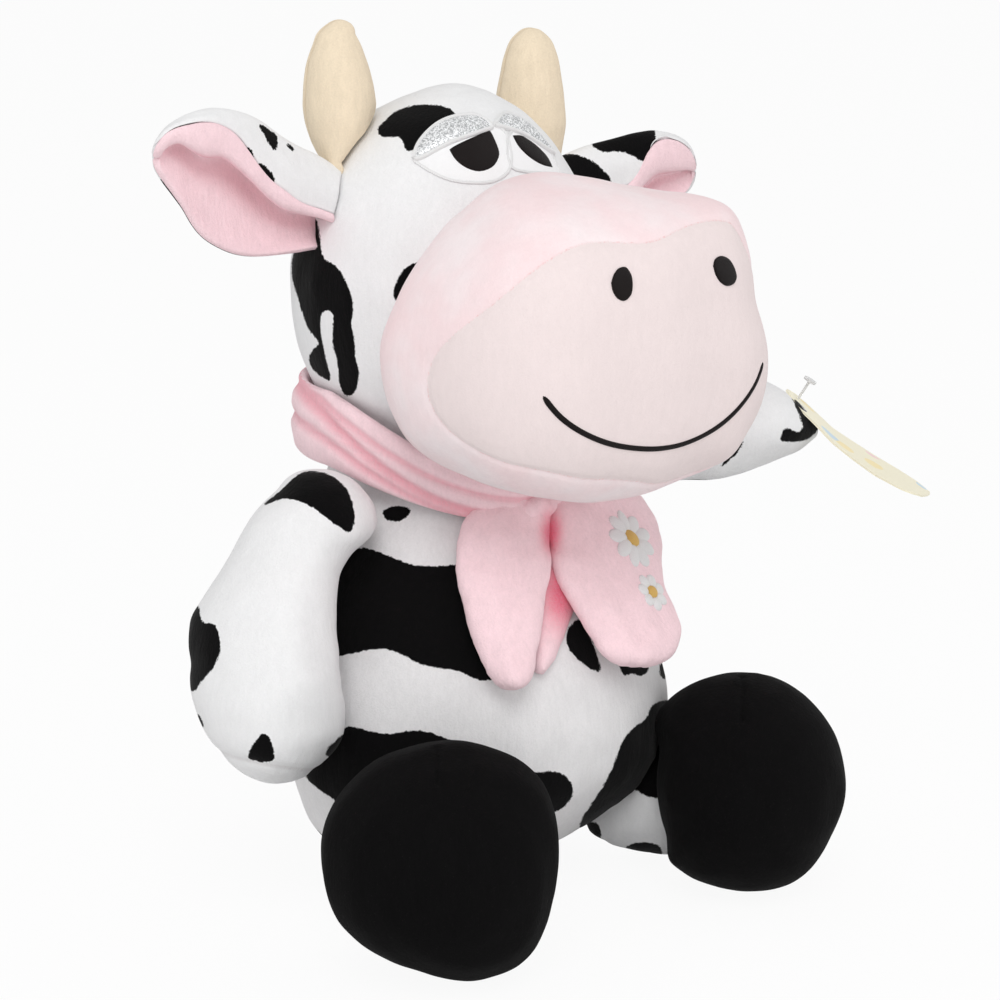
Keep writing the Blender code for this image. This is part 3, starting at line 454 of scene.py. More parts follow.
def vectors_of(items: bpy.types.bpy_prop_collection, key: str) -> Array:
    """Reads a vector of each of a mesh's points, one a row.

    Args:
        items: The mesh's points, or their normals.
        key: The name of the vector in each.

    Returns:
        The vectors.
    """
    flat = np.empty(len(items) * 3, dtype=np.float32)
    items.foreach_get(key, flat)
    return flat.reshape(-1, 3).astype(float)


def points_of(obj: Piece) -> Array:
    """Reads a mesh's points, one a row."""
    return vectors_of(obj.data.vertices, "co")


def normals_of(obj: Piece) -> Array:
    """Reads the way out of a mesh at each of its points."""
    return vectors_of(obj.data.vertex_normals, "vector")


def move_points(obj: Piece, points: Array) -> None:
    """Writes a mesh's points back."""
    obj.data.vertices.foreach_set("co", points.astype(np.float32).ravel())
    obj.data.update()


def store(obj: Piece, name: str, values: Array | float) -> None:
    """Keeps one number for each point of a mesh, for its finish to read.

    Args:
        obj: The piece.
        name: The number's name.
        values: One number for each point, or one for all.
    """
    layer = obj.data.attributes.get(name) or obj.data.attributes.new(name, "FLOAT", "POINT")
    full = np.broadcast_to(np.asarray(values, dtype=np.float32), (len(obj.data.vertices),))
    layer.data.foreach_set("value", np.ascontiguousarray(full))


def apply(obj: Piece, kind: str, **settings: object) -> None:
    """Adds a modifier to an object and applies it.

    Args:
        obj: The piece.
        kind: The modifier's type.
        **settings: The modifier's settings.
    """
    take_up(obj)
    modifier = obj.modifiers.new(kind.title(), kind)
    for key, value in settings.items():
        setattr(modifier, key, value)
    bpy.ops.object.modifier_apply(modifier=modifier.name)


def close_up(merge: float | None = None) -> None:
    """Turns the active mesh's faces outwards and shades it smooth.

    Args:
        merge: How near points are merged before that, or None to leave them.
    """
    bpy.ops.object.mode_set(mode="EDIT")
    bpy.ops.mesh.select_all(action="SELECT")
    if merge is not None:
        bpy.ops.mesh.remove_doubles(threshold=merge)
    bpy.ops.mesh.normals_make_consistent(inside=False)
    bpy.ops.object.mode_set(mode="OBJECT")
    bpy.ops.object.shade_smooth()


def smooth_step(value: Array | float, low: float, high: float) -> Array:
    """Eases from 0 at low to 1 at high."""
    share = np.clip((np.asarray(value, dtype=float) - low) / (high - low), 0.0, 1.0)
    return share * share * (3.0 - 2.0 * share)


def across_rows(rows: Array, knots: Array, shares: Array) -> Array:
    """Reads a smooth curve through rows of values.

    Args:
        rows: The values by row and coordinate, or by row, point and coordinate where each
            point has a curve of its own.
        knots: Where each row lies, from 0 to 1.
        shares: Where each point lies.

    Returns:
        The value at each point.
    """
    index = np.clip(np.searchsorted(knots, shares, side="right") - 1, 0, len(rows) - 2)
    slopes = np.gradient(rows, knots, axis=0)
    own = (np.arange(len(shares)),) if rows.ndim == 3 else ()
    low, high = (index, *own), (index + 1, *own)
    width = (knots[index + 1] - knots[index])[:, None]
    share = (shares - knots[index])[:, None] / width
    cube, square = share**3, share**2
    return (
        (2 * cube - 3 * square + 1) * rows[low]
        + (cube - 2 * square + share) * (slopes[low] * width)
        + (3 * square - 2 * cube) * rows[high]
        + (cube - square) * (slopes[high] * width)
    )


def along_line(line: Array | tuple[Pixel, ...], shares: Array) -> Array:
    """Reads a line of points at shares of its length, on a smooth curve through them.

    Args:
        line: The points, one a row.
        shares: Places from 0 to 1.

    Returns:
        A point for each share.
    """
    line = np.array(line, dtype=float)
    steps = np.concatenate([[0.0], np.cumsum(np.linalg.norm(np.diff(line, axis=0), axis=1))])
    return across_rows(line, steps / steps[-1], shares)


def ripple(points: Array, size: float, seed: float) -> Array:
    """Gives a slow, even unrest over points, from -1 to 1.

    Args:
        points: Places, one a row.
        size: The length of its waves, in metres.
        seed: A number that makes each use differ.

    Returns:
        One number for each point.
    """
    total = np.zeros(len(points))
    for step in range(1, 6):
        turn = seed * 1.7 + step * 2.4
        lift = seed * 0.9 + step * 1.3
        way = np.array([math.cos(turn) * math.cos(lift), math.sin(turn) * math.cos(lift), math.sin(lift)])
        total += np.sin(points @ way * math.tau / (size * (0.7 + 0.15 * step)) + step * seed)
    return total / 5.0


def between(ball: Array, first: tuple[Pixel, ...], second: tuple[Pixel, ...]) -> tuple[Array, Array, Array]:
    """Spreads a ball's points between two lines of the photograph.

    Args:
        ball: Points on a ball of radius 1, its poles along X.
        first: The line that one half lies along.
        second: The line that the other half lies along.

    Returns:
        Their pixels, their shares along the lines and their places across, from -1 to 1.
    """
    half = np.sqrt(np.maximum(1.0 - ball[:, 0] ** 2, 1e-9))
    shares = (ball[:, 0] + 1.0) / 2.0
    side = np.clip(ball[:, 1] / half, -1.0, 1.0)
    across = ((side + 1.0) / 2.0)[:, None]
    return along_line(first, shares) * (1.0 - across) + along_line(second, shares) * across, shares, side


def shaped_ball(name: str, segments: int, rings: int, shape: Callable[[Array], Array]) -> Piece:
    """Makes a closed piece from a round one, each point of which is moved to its place.

    Args:
        name: The piece's name.
        segments: The ball's faces round its middle.
        rings: The ball's faces from pole to pole.
        shape: Gives the points' places from their places on a ball of radius 1.

    Returns:
        The piece, its faces outwards.
    """
    deselect()
    bpy.ops.mesh.primitive_uv_sphere_add(segments=segments, ring_count=rings, radius=1.0)
    made = newest(name)
    move_points(made, shape(points_of(made)))
    close_up(BALL_MERGE)
    return made


class Skin:
    """The outside of a finished piece, on which others are laid."""

    def __init__(self, obj: Piece) -> None:
        """Reads a piece's faces.

        Args:
            obj: The piece.
        """
        self.points, self.normals = points_of(obj), normals_of(obj)
        self.faces = [tuple(face.vertices) for face in obj.data.polygons]
        self.tree = BVHTree.FromPolygons([Vector(point) for point in self.points], self.faces)

    def way_out(self, place: Vector, face: int) -> Vector:
        """Gives the way out at a place on a face, eased between the face's corners.

        Args:
            place: A place on the face.
            face: The face's number.

        Returns:
            The way out, one long.
        """
        corners = list(self.faces[face])
        near = 1.0 / (np.linalg.norm(self.points[corners] - np.array(place), axis=1) + 1e-5)
        return Vector((near[:, None] * self.normals[corners]).sum(axis=0)).normalized()

    def at_pixel(self, pixel: Pixel) -> tuple[Vector, Vector]:
        """Finds the place that shows at a pixel of the photograph.

        Args:
            pixel: A place in the picture. Beside the piece, its nearest edge is taken.

        Returns:
            The place and the way out there.
        """
        start, way = Vector(SIGHT.place), SIGHT.ray(pixel)
        place, _, face, _ = self.tree.ray_cast(start, way)
        if place is None:
            near, far = PIECE_REACH
            tries = [start + way * (near + (far - near) * step / 80.0) for step in range(81)]
            found = min((self.tree.find_nearest(point) for point in tries), key=lambda hit: hit[3])
            place, face = found[0], found[2]
        return place, self.way_out(place, face)

    def under(self, start: Vector, way: Vector) -> tuple[Vector, Vector]:
        """Finds the place that a line meets first.

        Args:
            start: Where the line starts.
            way: Where it goes.

        Returns:
            The place and the way out there, or the nearest place if it meets none.
        """
        place, _, face, _ = self.tree.ray_cast(start, way)
        if place is None:
            place, _, face, _ = self.tree.find_nearest(start)
        return place, self.way_out(place, face)


# Finishes


class Expression:
    """A number in a shader, which takes part in Python sums."""

    def __init__(self, graph: Graph, socket: bpy.types.NodeSocket) -> None:
        """Wraps a node's output."""
        self.graph = graph
        self.socket = socket

    def __add__(self, other: Expression | float) -> Expression:
        """Adds."""
        return self.graph.sum_up("ADD", self, other)

    def __radd__(self, other: float) -> Expression:
        """Adds to a number."""
        return self.graph.sum_up("ADD", other, self)

    def __sub__(self, other: Expression | float) -> Expression:
        """Takes away."""
        return self.graph.sum_up("SUBTRACT", self, other)

    def __rsub__(self, other: float) -> Expression:
        """Is taken from a number."""
        return self.graph.sum_up("SUBTRACT", other, self)

    def __mul__(self, other: Expression | float) -> Expression:
        """Multiplies."""
        return self.graph.sum_up("MULTIPLY", self, other)

    def __rmul__(self, other: float) -> Expression:
        """Multiplies a number."""
        return self.graph.sum_up("MULTIPLY", other, self)


Value = Expression | bpy.types.NodeSocket | float | tuple


class Graph:
    """The nodes of one material, or of the world."""

    def __init__(self, name: str, world: bool = False) -> None:
        """Starts a material or a world with nothing but its output.

        Args:
            name: Its name.
            world: Whether it is a world.
        """
        self.owner = (bpy.data.worlds if world else bpy.data.materials).new(name)
        self.owner.use_nodes = True
        self.tree = self.owner.node_tree
        self.tree.nodes.clear()
        self.output = self.tree.nodes.new("ShaderNodeOutputWorld" if world else "ShaderNodeOutputMaterial")

    def node(
        self, kind: str, settings: dict[str, object] | None = None, values: dict[str | int, Value] | None = None
    ) -> bpy.types.ShaderNode:
        """Adds a node.

        Args:
            kind: Its type.
            settings: Its settings, which are set first.
            values: The numbers, colours or links of its sockets, by name or place.

        Returns:
            The node.
        """
        made = self.tree.nodes.new(kind)
        for key, value in (settings or {}).items():
            setattr(made, key, value)
        for key, value in (values or {}).items():
            socket = made.inputs[key]
            value = value.socket if isinstance(value, Expression) else value
            if isinstance(value, bpy.types.NodeSocket):
                self.tree.links.new(value, socket)
            elif isinstance(value, tuple) and socket.type == "RGBA":
                socket.default_value = (*value[:3], 1.0)
            else:
                socket.default_value = value
        return made

    def sum_up(self, operation: str, first: Expression | float, second: Expression | float) -> Expression:
        """Adds a Math node for two numbers."""
        made = self.node("ShaderNodeMath", {"operation": operation}, {0: first, 1: second})
        return Expression(self, made.outputs[0])

    def read(self, name: str) -> Expression:
        """Reads a number that the mesh keeps for each point."""
        return Expression(self, self.node("ShaderNodeAttribute", {"attribute_name": name}).outputs["Fac"])

    def place(self, stretch: Place = (1.0, 1.0, 1.0)) -> bpy.types.NodeSocket:
        """Gives the place on the piece, stretched along its axes.

        Args:
            stretch: The factor along each axis.

        Returns:
            The stretched place.
        """
        where = self.node("ShaderNodeTexCoord").outputs["Object"]
        made = self.node("ShaderNodeMapping", values={"Vector": where, "Scale": stretch})
        return made.outputs["Vector"]

    def unrest(self, where: Value, per_metre: float, detail: float = 2.0, rough: float = 0.5) -> Expression:
        """Gives a noise from 0 to 1 with so many waves in a metre."""
        values = {"Vector": where, "Scale": per_metre, "Detail": detail, "Roughness": rough}
        return Expression(self, self.node("ShaderNodeTexNoise", values=values).outputs["Fac"])

    def ease(self, value: Expression, low: float, high: float) -> Expression:
        """Eases from 0 at low to 1 at high.

        Args:
            value: What is eased.
            low: Where it is 0.
            high: Where it is 1.

        Returns:
            The eased number.
        """
        values = {"Value": value, "From Min": low, "From Max": high}
        made = self.node("ShaderNodeMapRange", {"interpolation_type": "SMOOTHSTEP"}, values)
        return Expression(self, made.outputs["Result"])

    def blend(self, share: Expression | float, first: Value, second: Value) -> bpy.types.NodeSocket:
        """Mixes two colours."""
        made = self.node("ShaderNodeMix", {"data_type": "RGBA"}, {0: share, 6: first, 7: second})
        return made.outputs[2]

    def shade(self, colour: Value, factor: Expression) -> bpy.types.NodeSocket:
        """Makes a colour lighter or darker by a factor."""
        made = self.node("ShaderNodeVectorMath", {"operation": "SCALE"}, {0: colour, "Scale": factor})
        return made.outputs[0]

    def bump(self, height: Expression, depth: float, strength: float, below: Value | None = None) -> Value:
        """Raises a pattern.

        Args:
            height: The pattern, from 0 to 1.
            depth: How high it stands, in metres.
            strength: How much of it shows.
            below: A raised pattern that this one lies on.

        Returns:
            The raised surface's normal.
        """
        values = {"Height": height, "Distance": depth, "Strength": strength}
        if below is not None:
            values["Normal"] = below
        return self.node("ShaderNodeBump", values=values).outputs["Normal"]

    def surface(self, values: dict[str, Value]) -> bpy.types.Material:
        """Ends the material in a Principled surface with these sockets set."""
        return self.end_in(self.node("ShaderNodeBsdfPrincipled", values=values))

    def plush(self, colour: Value, light: Expression, sheen: float, normal: Value) -> bpy.types.Material:
        """Ends the material in the dull surface of a pile.

        Args:
            colour: The pile's colour.
            light: How light or dark it is brushed.
            sheen: How much light its tips catch.
            normal: Its raised surface's normal.

        Returns:
            The material.
        """
        values = {"Base Color": self.shade(colour, light), "Roughness": 0.95, "Specular IOR Level": 0.06}
        return self.surface({**values, "Sheen Weight": sheen, "Sheen Roughness": 0.45, "Normal": normal})

    def end_in(self, shader: bpy.types.ShaderNode) -> bpy.types.ID:
        """Joins a shader to the output and gives the material or the world."""
        self.tree.links.new(shader.outputs[0], self.output.inputs["Surface"])
        return self.owner


@dataclass(frozen=True)
class Plush:
    """Short-pile plush, in one colour or with dyed spots.

    Attributes:
        name: The material's name.
        ground: The fabric's colour.
        dye: The spots' colour, for a fabric that has them.
        crease: The colour along a seam: partly its stitches, partly painted shade in the crease that the seam
            draws in.
        deep: The colour of the painted shade, laid where the cloth is gathered or folded in.
        mottle: How much the brushed pile varies from light to dark.
        sheen: How much light its tips catch.
        pile: How much the tufts stand out.
    """

    name: str
    ground: Colour
    dye: Colour | None = None
    crease: Colour = (0.72, 0.70, 0.70)
    deep: Colour = (0.66, 0.64, 0.65)
    mottle: float = 0.08
    sheen: float = 0.06
    pile: float = 0.50

    def build(self) -> bpy.types.Material:
        """Makes the material.

        Returns:
            The material.
        """
        graph = Graph(self.name)
        where = graph.place()
        tuft = graph.unrest(where, 1300.0, 3.0, 0.65)
        brushed = graph.unrest(graph.place((1.0, 1.0, 0.45)), 90.0, 3.0, 0.55)
        nap = graph.unrest(graph.place((1.0, 1.0, 0.25)), 520.0, 2.0, 0.6)
        # The seam line: speckled stitches, partly painted shade in the crease that the seam draws in.
        pulled = (1.0 - graph.ease(graph.read("seam"), 0.15, 1.5)) * (0.55 + (tuft - 0.5) * 1.5)
        colour: Value = graph.blend(graph.ease(pulled, 0.0, 1.0), self.ground, self.crease)
        # Painted shade: the deep colour is laid where the mesh's tint marks a fold, a crease or a pinch.
        colour = graph.blend(graph.ease(graph.read("tint") * (0.7 + tuft * 0.6), 0.0, 1.0), colour, self.deep)
        if self.dye is not None:
            edge = graph.read("spot") + (tuft - 0.5) * 1.6 + (nap - 0.5) * 1.2
            colour = graph.blend(graph.ease(edge, -0.22, 0.22), colour, self.dye)
        light = 1.0 + (brushed - 0.5) * self.mottle + (nap - 0.5) * self.mottle + (tuft - 0.5) * self.mottle * 1.3
        normal = graph.bump(brushed, 0.0011, self.pile * 0.5)
        normal = graph.bump(nap, 0.0005, self.pile, normal)
        normal = graph.bump(tuft, 0.0004, self.pile, normal)
        return graph.plush(colour, light, self.sheen, normal)


@dataclass(frozen=True)
class Satin:
    """Satin stitching: parallel shiny threads.

    Attributes:
        name: The material's name.
        colour: The thread's colour.
        thread: The width of a thread, in millimetres.
        gloss: How smooth it is, as a roughness.
        shine: How much light it throws back.
    """

    name: str
    colour: Colour
    thread: float = 0.42
    gloss: float = 0.48
    shine: float = 0.30

    def build(self) -> bpy.types.Material:
        """Makes the material.

        Returns:
            The material.
        """
        graph = Graph(self.name)
        fibre = graph.unrest(graph.place(), 2600.0, 2.0)
        course = graph.read("along") * (math.tau / self.thread) + (fibre - 0.5) * 1.4
        wave = graph.sum_up("SINE", course, 0.0) * 0.5 + 0.5
        # Lighter on each thread's crest and darker between threads, in step with the bump: painted shade along the
        # threads, with random fibre tone.
        light = 0.90 + wave * 0.12 + (fibre - 0.5) * 0.10
        return graph.surface(
            {
                "Base Color": graph.shade(self.colour, light),
                "Roughness": self.gloss,
                "Specular IOR Level": self.shine,
                "Normal": graph.bump(wave, 0.00018, 0.8),
            }
        )


@dataclass(frozen=True)
class Glitter:
    """Fabric covered in silver glitter flakes.

    Attributes:
        name: The material's name.
        dark: The colour of the darker flakes, painted shade as if they face away.
        bright: The colour of the brighter flakes, a painted glint as if they catch the light.
        flakes: How many lie along a metre.
    """

    name: str = "silver_glitter"
    dark: Colour = (0.42, 0.43, 0.44)
    bright: Colour = (0.93, 0.94, 0.95)
    flakes: float = 2100.0

    def build(self) -> bpy.types.Material:
        """Makes the material.

        Returns:
            The material.
        """
        graph = Graph(self.name)
        cells = graph.node(
            "ShaderNodeTexVoronoi", {"feature": "F1"}, {"Vector": graph.place(), "Scale": self.flakes}
        )
        parts = graph.node("ShaderNodeSeparateColor", values={0: cells.outputs["Color"]})
        tone = Expression(graph, parts.outputs[0])
        tilt = Expression(graph, parts.outputs[1])
        # Each flake gets a random colour between the dark and the bright one: painted glints and painted shade on
        # the flakes.
        return graph.surface(
            {
                "Base Color": graph.blend(graph.ease(tone, 0.15, 0.85), self.dark, self.bright),
                "Roughness": 0.28 + tilt * 0.3,
                "Metallic": 0.35,
                "Normal": graph.bump(tilt, 0.0004, 0.9),
            }
        )


@dataclass(frozen=True)
class PrintedCard:
    """Thin coated card with a loose pastel pattern of dabs inside a plain margin.

    Attributes:
        name: The material's name.
        ground: The card's colour.
        dabs: The pastel colours of the pattern.
        spacing: How many dabs lie along the card and across it.
    """

    name: str = "printed_card"
    ground: Colour = (0.93, 0.88, 0.68)
    dabs: tuple[Colour, Colour, Colour] = ((0.93, 0.62, 0.66), (0.55, 0.72, 0.86), (0.95, 0.80, 0.42))
    spacing: Place = (5.0, 2.4, 1.0)

    def build(self) -> bpy.types.Material:
        """Makes the material.

        Returns:
            The material.
        """
        graph = Graph(self.name)
        map_place = graph.node("ShaderNodeTexCoord").outputs["UV"]
        stretched = graph.node("ShaderNodeMapping", values={"Vector": map_place, "Scale": self.spacing})
        cells = graph.node(
            "ShaderNodeTexVoronoi", {"feature": "F1"}, {"Vector": stretched.outputs[0], "Scale": 1.0}
        )
        parts = graph.node("ShaderNodeSeparateColor", values={0: cells.outputs["Color"]})
        pick = Expression(graph, parts.outputs[0])
        near = Expression(graph, cells.outputs["Distance"])
        first = graph.blend(graph.ease(pick, 0.32, 0.34), self.dabs[0], self.dabs[1])
        paint = graph.blend(graph.ease(pick, 0.65, 0.67), first, self.dabs[2])
        edge = graph.read("margin")
        shown = (1.0 - graph.ease(near, 0.30, 0.36)) * graph.ease(edge, 2.4, 2.8)
        fibre = graph.unrest(graph.place(), 1500.0)
        colour = graph.blend(shown * 0.9, self.ground, paint)
        return graph.surface(
            {
                "Base Color": graph.shade(colour, 0.97 + fibre * 0.05),
                "Roughness": 0.42 + fibre * 0.08,
                "Specular IOR Level": 0.4,
                "Normal": graph.bump(fibre, 0.00006, 0.3),
            }
        )


@dataclass(frozen=True)
class ClearPlastic:
    """Cloudy moulded plastic, as of a tag's pin.

    Attributes:
        name: The material's name.
        tint: Its colour.
    """

    name: str = "clear_plastic"
    tint: Colour = (0.86, 0.86, 0.86)

    def build(self) -> bpy.types.Material:
        """Makes the material.

        Returns:
            The material.
        """
        graph = Graph(self.name)
        cloud = graph.unrest(graph.place(), 900.0)
        return graph.surface(
            {
                "Base Color": graph.shade(self.tint, 0.95 + cloud * 0.08),
                "Roughness": 0.25 + cloud * 0.1,
                "Transmission Weight": 0.35,
                "IOR": 1.46,
            }
        )


WHITE = (0.85, 0.85, 0.855)
BLACK = (0.0035, 0.0033, 0.0035)
PINK = (0.95, 0.71, 0.75)
COAT = Plush("spotted_white_plush", WHITE, BLACK)
# The torso's white is a darker copy of the coat's white: painted shade for the belly under the muzzle and the
# scarf.
SHADED_BODY_COAT = Plush("spotted_body_plush", (0.80, 0.79, 0.795), BLACK, mottle=0.12)
EYE_WHITE = Plush("eye_white_plush", (0.89, 0.89, 0.895), mottle=0.05, pile=0.25)
FOOT_PLUSH = Plush("black_plush", BLACK, crease=(0.002, 0.002, 0.002), mottle=0.40, sheen=0.012)
# The scarf's and the lining's deep colours are painted shade: saturated pink for their folds and pinches.
SCARF_PLUSH = Plush("pink_plush", PINK, deep=(0.80, 0.16, 0.24), mottle=0.14, sheen=0.12, pile=0.8)
LINING = Plush("ear_lining_plush", PINK, deep=(0.80, 0.24, 0.32), mottle=0.14, sheen=0.12, pile=0.8)
HORN_PLUSH = Plush("beige_plush", (0.845, 0.72, 0.545), crease=(0.72, 0.56, 0.38), mottle=0.16)
DARK_THREAD = Satin("dark_thread", (0.008, 0.005, 0.005), shine=0.12)
WHITE_THREAD = Satin("white_thread", (0.92, 0.92, 0.92))
GOLD_THREAD = Satin("gold_thread", (0.78, 0.50, 0.14))


class Wardrobe:
    """Keeps each finish's material, so that pieces share it.

    Attributes:
        made: The materials so far, by their finishes' names.
    """

    made: dict[str, bpy.types.Material] = {}

    @classmethod
    def dress(cls, obj: Piece, finish: object) -> None:
        """Gives a piece a finish.

        Args:
            obj: The piece.
            finish: The finish, with a name and a build method.
        """
        if finish.name not in cls.made:
            cls.made[finish.name] = finish.build()
        obj.data.materials.clear()
        obj.data.materials.append(cls.made[finish.name])
        for face in obj.data.polygons:
            face.material_index = 0


def hand_over(
    obj: Piece, body: str, finish: object, nodes: tuple[str, ...] = ()
) -> Piece:
    """Dresses a finished piece and fixes it to the frame.

    Args:
        obj: The piece.
        body: The body that it rides on.
        finish: Its finish.
        nodes: The solids that it stands for.

    Returns:
        The piece.
    """
    # Neutral values for pieces without spots, seams, stitch courses or painted shade (tint).
    for name, value in (("spot", NO_SPOT), ("seam", NO_SEAM), ("along", 0.0), ("tint", 0.0)):
        if name not in obj.data.attributes:
            store(obj, name, value)
    Wardrobe.dress(obj, finish)
    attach(obj, body)
    if nodes:
        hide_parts(*nodes)
    LOG.info("%s: %d faces on %s", obj.name, len(obj.data.polygons), body)
    return obj


# Stuffed forms


@dataclass
class SeamLine:
    """A seam that draws the fabric in along a line.

    Attributes:
        reach: Gives each point's distance from the line, in metres.
        depth: How far the fabric is drawn in, in metres.
        width: How wide the drawn part is, in metres.
        mark: Whether the stitches show in the fabric's colour.
    """

    reach: Callable[[Array], Array]
    depth: float = 0.0013
    width: float = 0.0026
    mark: bool = True


def line_reach(line: Array) -> Callable[[Array], Array]:
    """Gives the distance from a line of points.

    Args:
        line: The points, close together, one a row.

    Returns:
        A function from places to distances.
    """

    def reach(points: Array) -> Array:
        """Gives each point's distance from the line.

        Args:
            points: Places, one a row.

        Returns:
            A distance for each.
        """
        nearest = np.full(len(points), 1e9)
        for spot in line:
            nearest = np.minimum(nearest, ((points - spot) ** 2).sum(axis=1))
        return np.sqrt(nearest)

    return reach


def middle_reach(start: float) -> Callable[[Array], Array]:
    """Gives the distance from a seam up the middle of the back, from a place along Y on."""
    return lambda points: np.hypot(points[:, 0], np.maximum(start - points[:, 1], 0.0))


def plane_reach(middle: Vector, way: Vector) -> Callable[[Array], Array]:
    """Gives the distance from a plane through a point."""
    flat, through = np.array(way.normalized()), np.array(middle)
    return lambda points: np.abs((points - through) @ flat)


@dataclass
class StuffedForm:
    """A sewn skin full of fibre, grown from the frame's solids for it.

    Attributes:
        name: The piece's name.
        nodes: The solids that it stands for.
        voxel: The size of the cells that join them.
        swell: How far the stuffing may push the skin out.
        plump: How far the smoothed skin is moved out again.
        easing: How often the facets are smoothed.
        frames: How many steps the stuffing presses.
        pressure: How hard it presses.
        quality: How finely the cloth is worked out in each step.
        mass: The cloth's weight.
        wander: How far the finished skin strays from even.
        seams: The seams that are drawn in.
        spots: The dyed spots.
        edges: The edges in the photograph that it is fitted to, in that order.
    """

    name: str
    nodes: tuple[str, ...]
    voxel: float = 0.003
    swell: float = 0.0
    plump: float = 0.0008
    easing: int = 8
    frames: int = 14
    pressure: float = 4.0
    quality: int = 4
    mass: float = 0.3
    wander: float = 0.0004
    seams: list[SeamLine] = field(default_factory=list)
    spots: tuple[Spot, ...] = ()
    edges: tuple[Edges | Ring, ...] = ()

    def grow(self) -> Piece:
        """Joins the solids into one skin, stuffs it and smooths it.

        Returns:
            The form, without its seams and spots.
        """
        form = self.joined()
        apply(form, "REMESH", mode="VOXEL", voxel_size=self.voxel)
        form = self.outermost(form)
        apply(form, "SMOOTH", factor=0.5, iterations=self.easing)
        if self.swell:
            self.stuff(form)
        if self.edges:
            self.fit(form)
        apply(form, "SUBSURF", levels=1, render_levels=1)
        move_points(form, points_of(form) + normals_of(form) * self.plump)
        bpy.ops.object.shade_smooth()
        return form

    def fit(self, form: Piece) -> None:
        """Fits the form's edges to those of the photograph.

        Args:
            form: The form.
        """
        points = points_of(form)
        for edges in self.edges:
            points = edges.fit(points)
        move_points(form, points)
        apply(form, "SMOOTH", factor=0.5, iterations=4)

    def joined(self) -> Piece:
        """Copies the solids into one mesh.

        Returns:
            The mesh, its doubles merged.
        """
        copies = []
        for node in self.nodes:
            copy = bpy.data.objects.new(self.name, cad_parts[node].data.copy())
            bpy.context.scene.collection.objects.link(copy)
            copies.append(copy)
        form = join(copies, self.name)
        bpy.ops.object.mode_set(mode="EDIT")
        bpy.ops.mesh.select_all(action="SELECT")
        bpy.ops.mesh.remove_doubles(threshold=0.00001)
        bpy.ops.object.mode_set(mode="OBJECT")
        return form

    def outermost(self, form: Piece) -> Piece:
        """Drops what the cells closed off inside the form.

        Args:
            form: The remeshed form.

        Returns:
            Its outer shell.
        """
        take_up(form)
        bpy.ops.object.mode_set(mode="EDIT")
        bpy.ops.mesh.select_all(action="SELECT")
        bpy.ops.mesh.separate(type="LOOSE")
        bpy.ops.object.mode_set(mode="OBJECT")
        shells = sorted(bpy.context.selected_objects, key=lambda shell: len(shell.data.vertices))
        for shell in shells[:-1]:
            bpy.data.objects.remove(shell)
        shells[-1].name = self.name
        return shells[-1]

    def stuff(self, form: Piece) -> None:
        """Lets the stuffing press the skin out as cloth, within the form's swell.

        Args:
            form: The form.
        """
        take_up(form)
        before = points_of(form)
        cloth = form.modifiers.new("Cloth", "CLOTH")
        cloth.settings.quality = self.quality
        cloth.settings.mass = self.mass
        cloth.settings.use_pressure = True
        cloth.settings.uniform_pressure_force = self.pressure
        cloth.settings.effector_weights.gravity = 0.0
        scene = bpy.context.scene
        for frame in range(1, self.frames + 1):
            scene.frame_set(frame)
        shaped = form.evaluated_get(bpy.context.evaluated_depsgraph_get())
        after = points_of(shaped)
        form.modifiers.remove(cloth)
        scene.frame_set(1)
        motion = after - before
        length = np.linalg.norm(motion, axis=1, keepdims=True)
        move_points(form, before + motion * np.minimum(1.0, self.swell / np.maximum(length, 1e-9)))
        apply(form, "SMOOTH", factor=0.5, iterations=3)

    def sew(self, form: Piece) -> None:
        """Draws the seams in and keeps the spots for the finish.

        Args:
            form: The grown form.
        """
        points, normals = points_of(form), normals_of(form)
        nearest = np.full(len(points), NO_SEAM)
        moved = points + normals * (ripple(points, 0.031, 1.0 + len(self.name)) * self.wander)[:, None]
        for seam in self.seams:
            reach = seam.reach(points)
            pucker = 1.0 + 0.35 * ripple(points, 0.0065, 2.0)
            draw = seam.depth * np.exp(-((reach / seam.width) ** 2)) * pucker
            moved -= normals * draw[:, None]
            if seam.mark:
                nearest = np.minimum(nearest, reach / MILLI)
        move_points(form, moved)
        store(form, "seam", nearest)
        store(form, "spot", dyed(self.spots, points, normals))

    def make(self) -> Piece:
        """Grows the form and sews it.

        Returns:
            The finished form.
        """
        form = self.grow()
        self.sew(form)
        return form


class Side(Enum):
    """The cow's own right and left, with the way to each along X."""

    RIGHT = -1.0
    LEFT = 1.0

    @property
    def word(self) -> str:
        """The side's word in a node's name."""
        return self.name.lower()


# The torso and its limbs


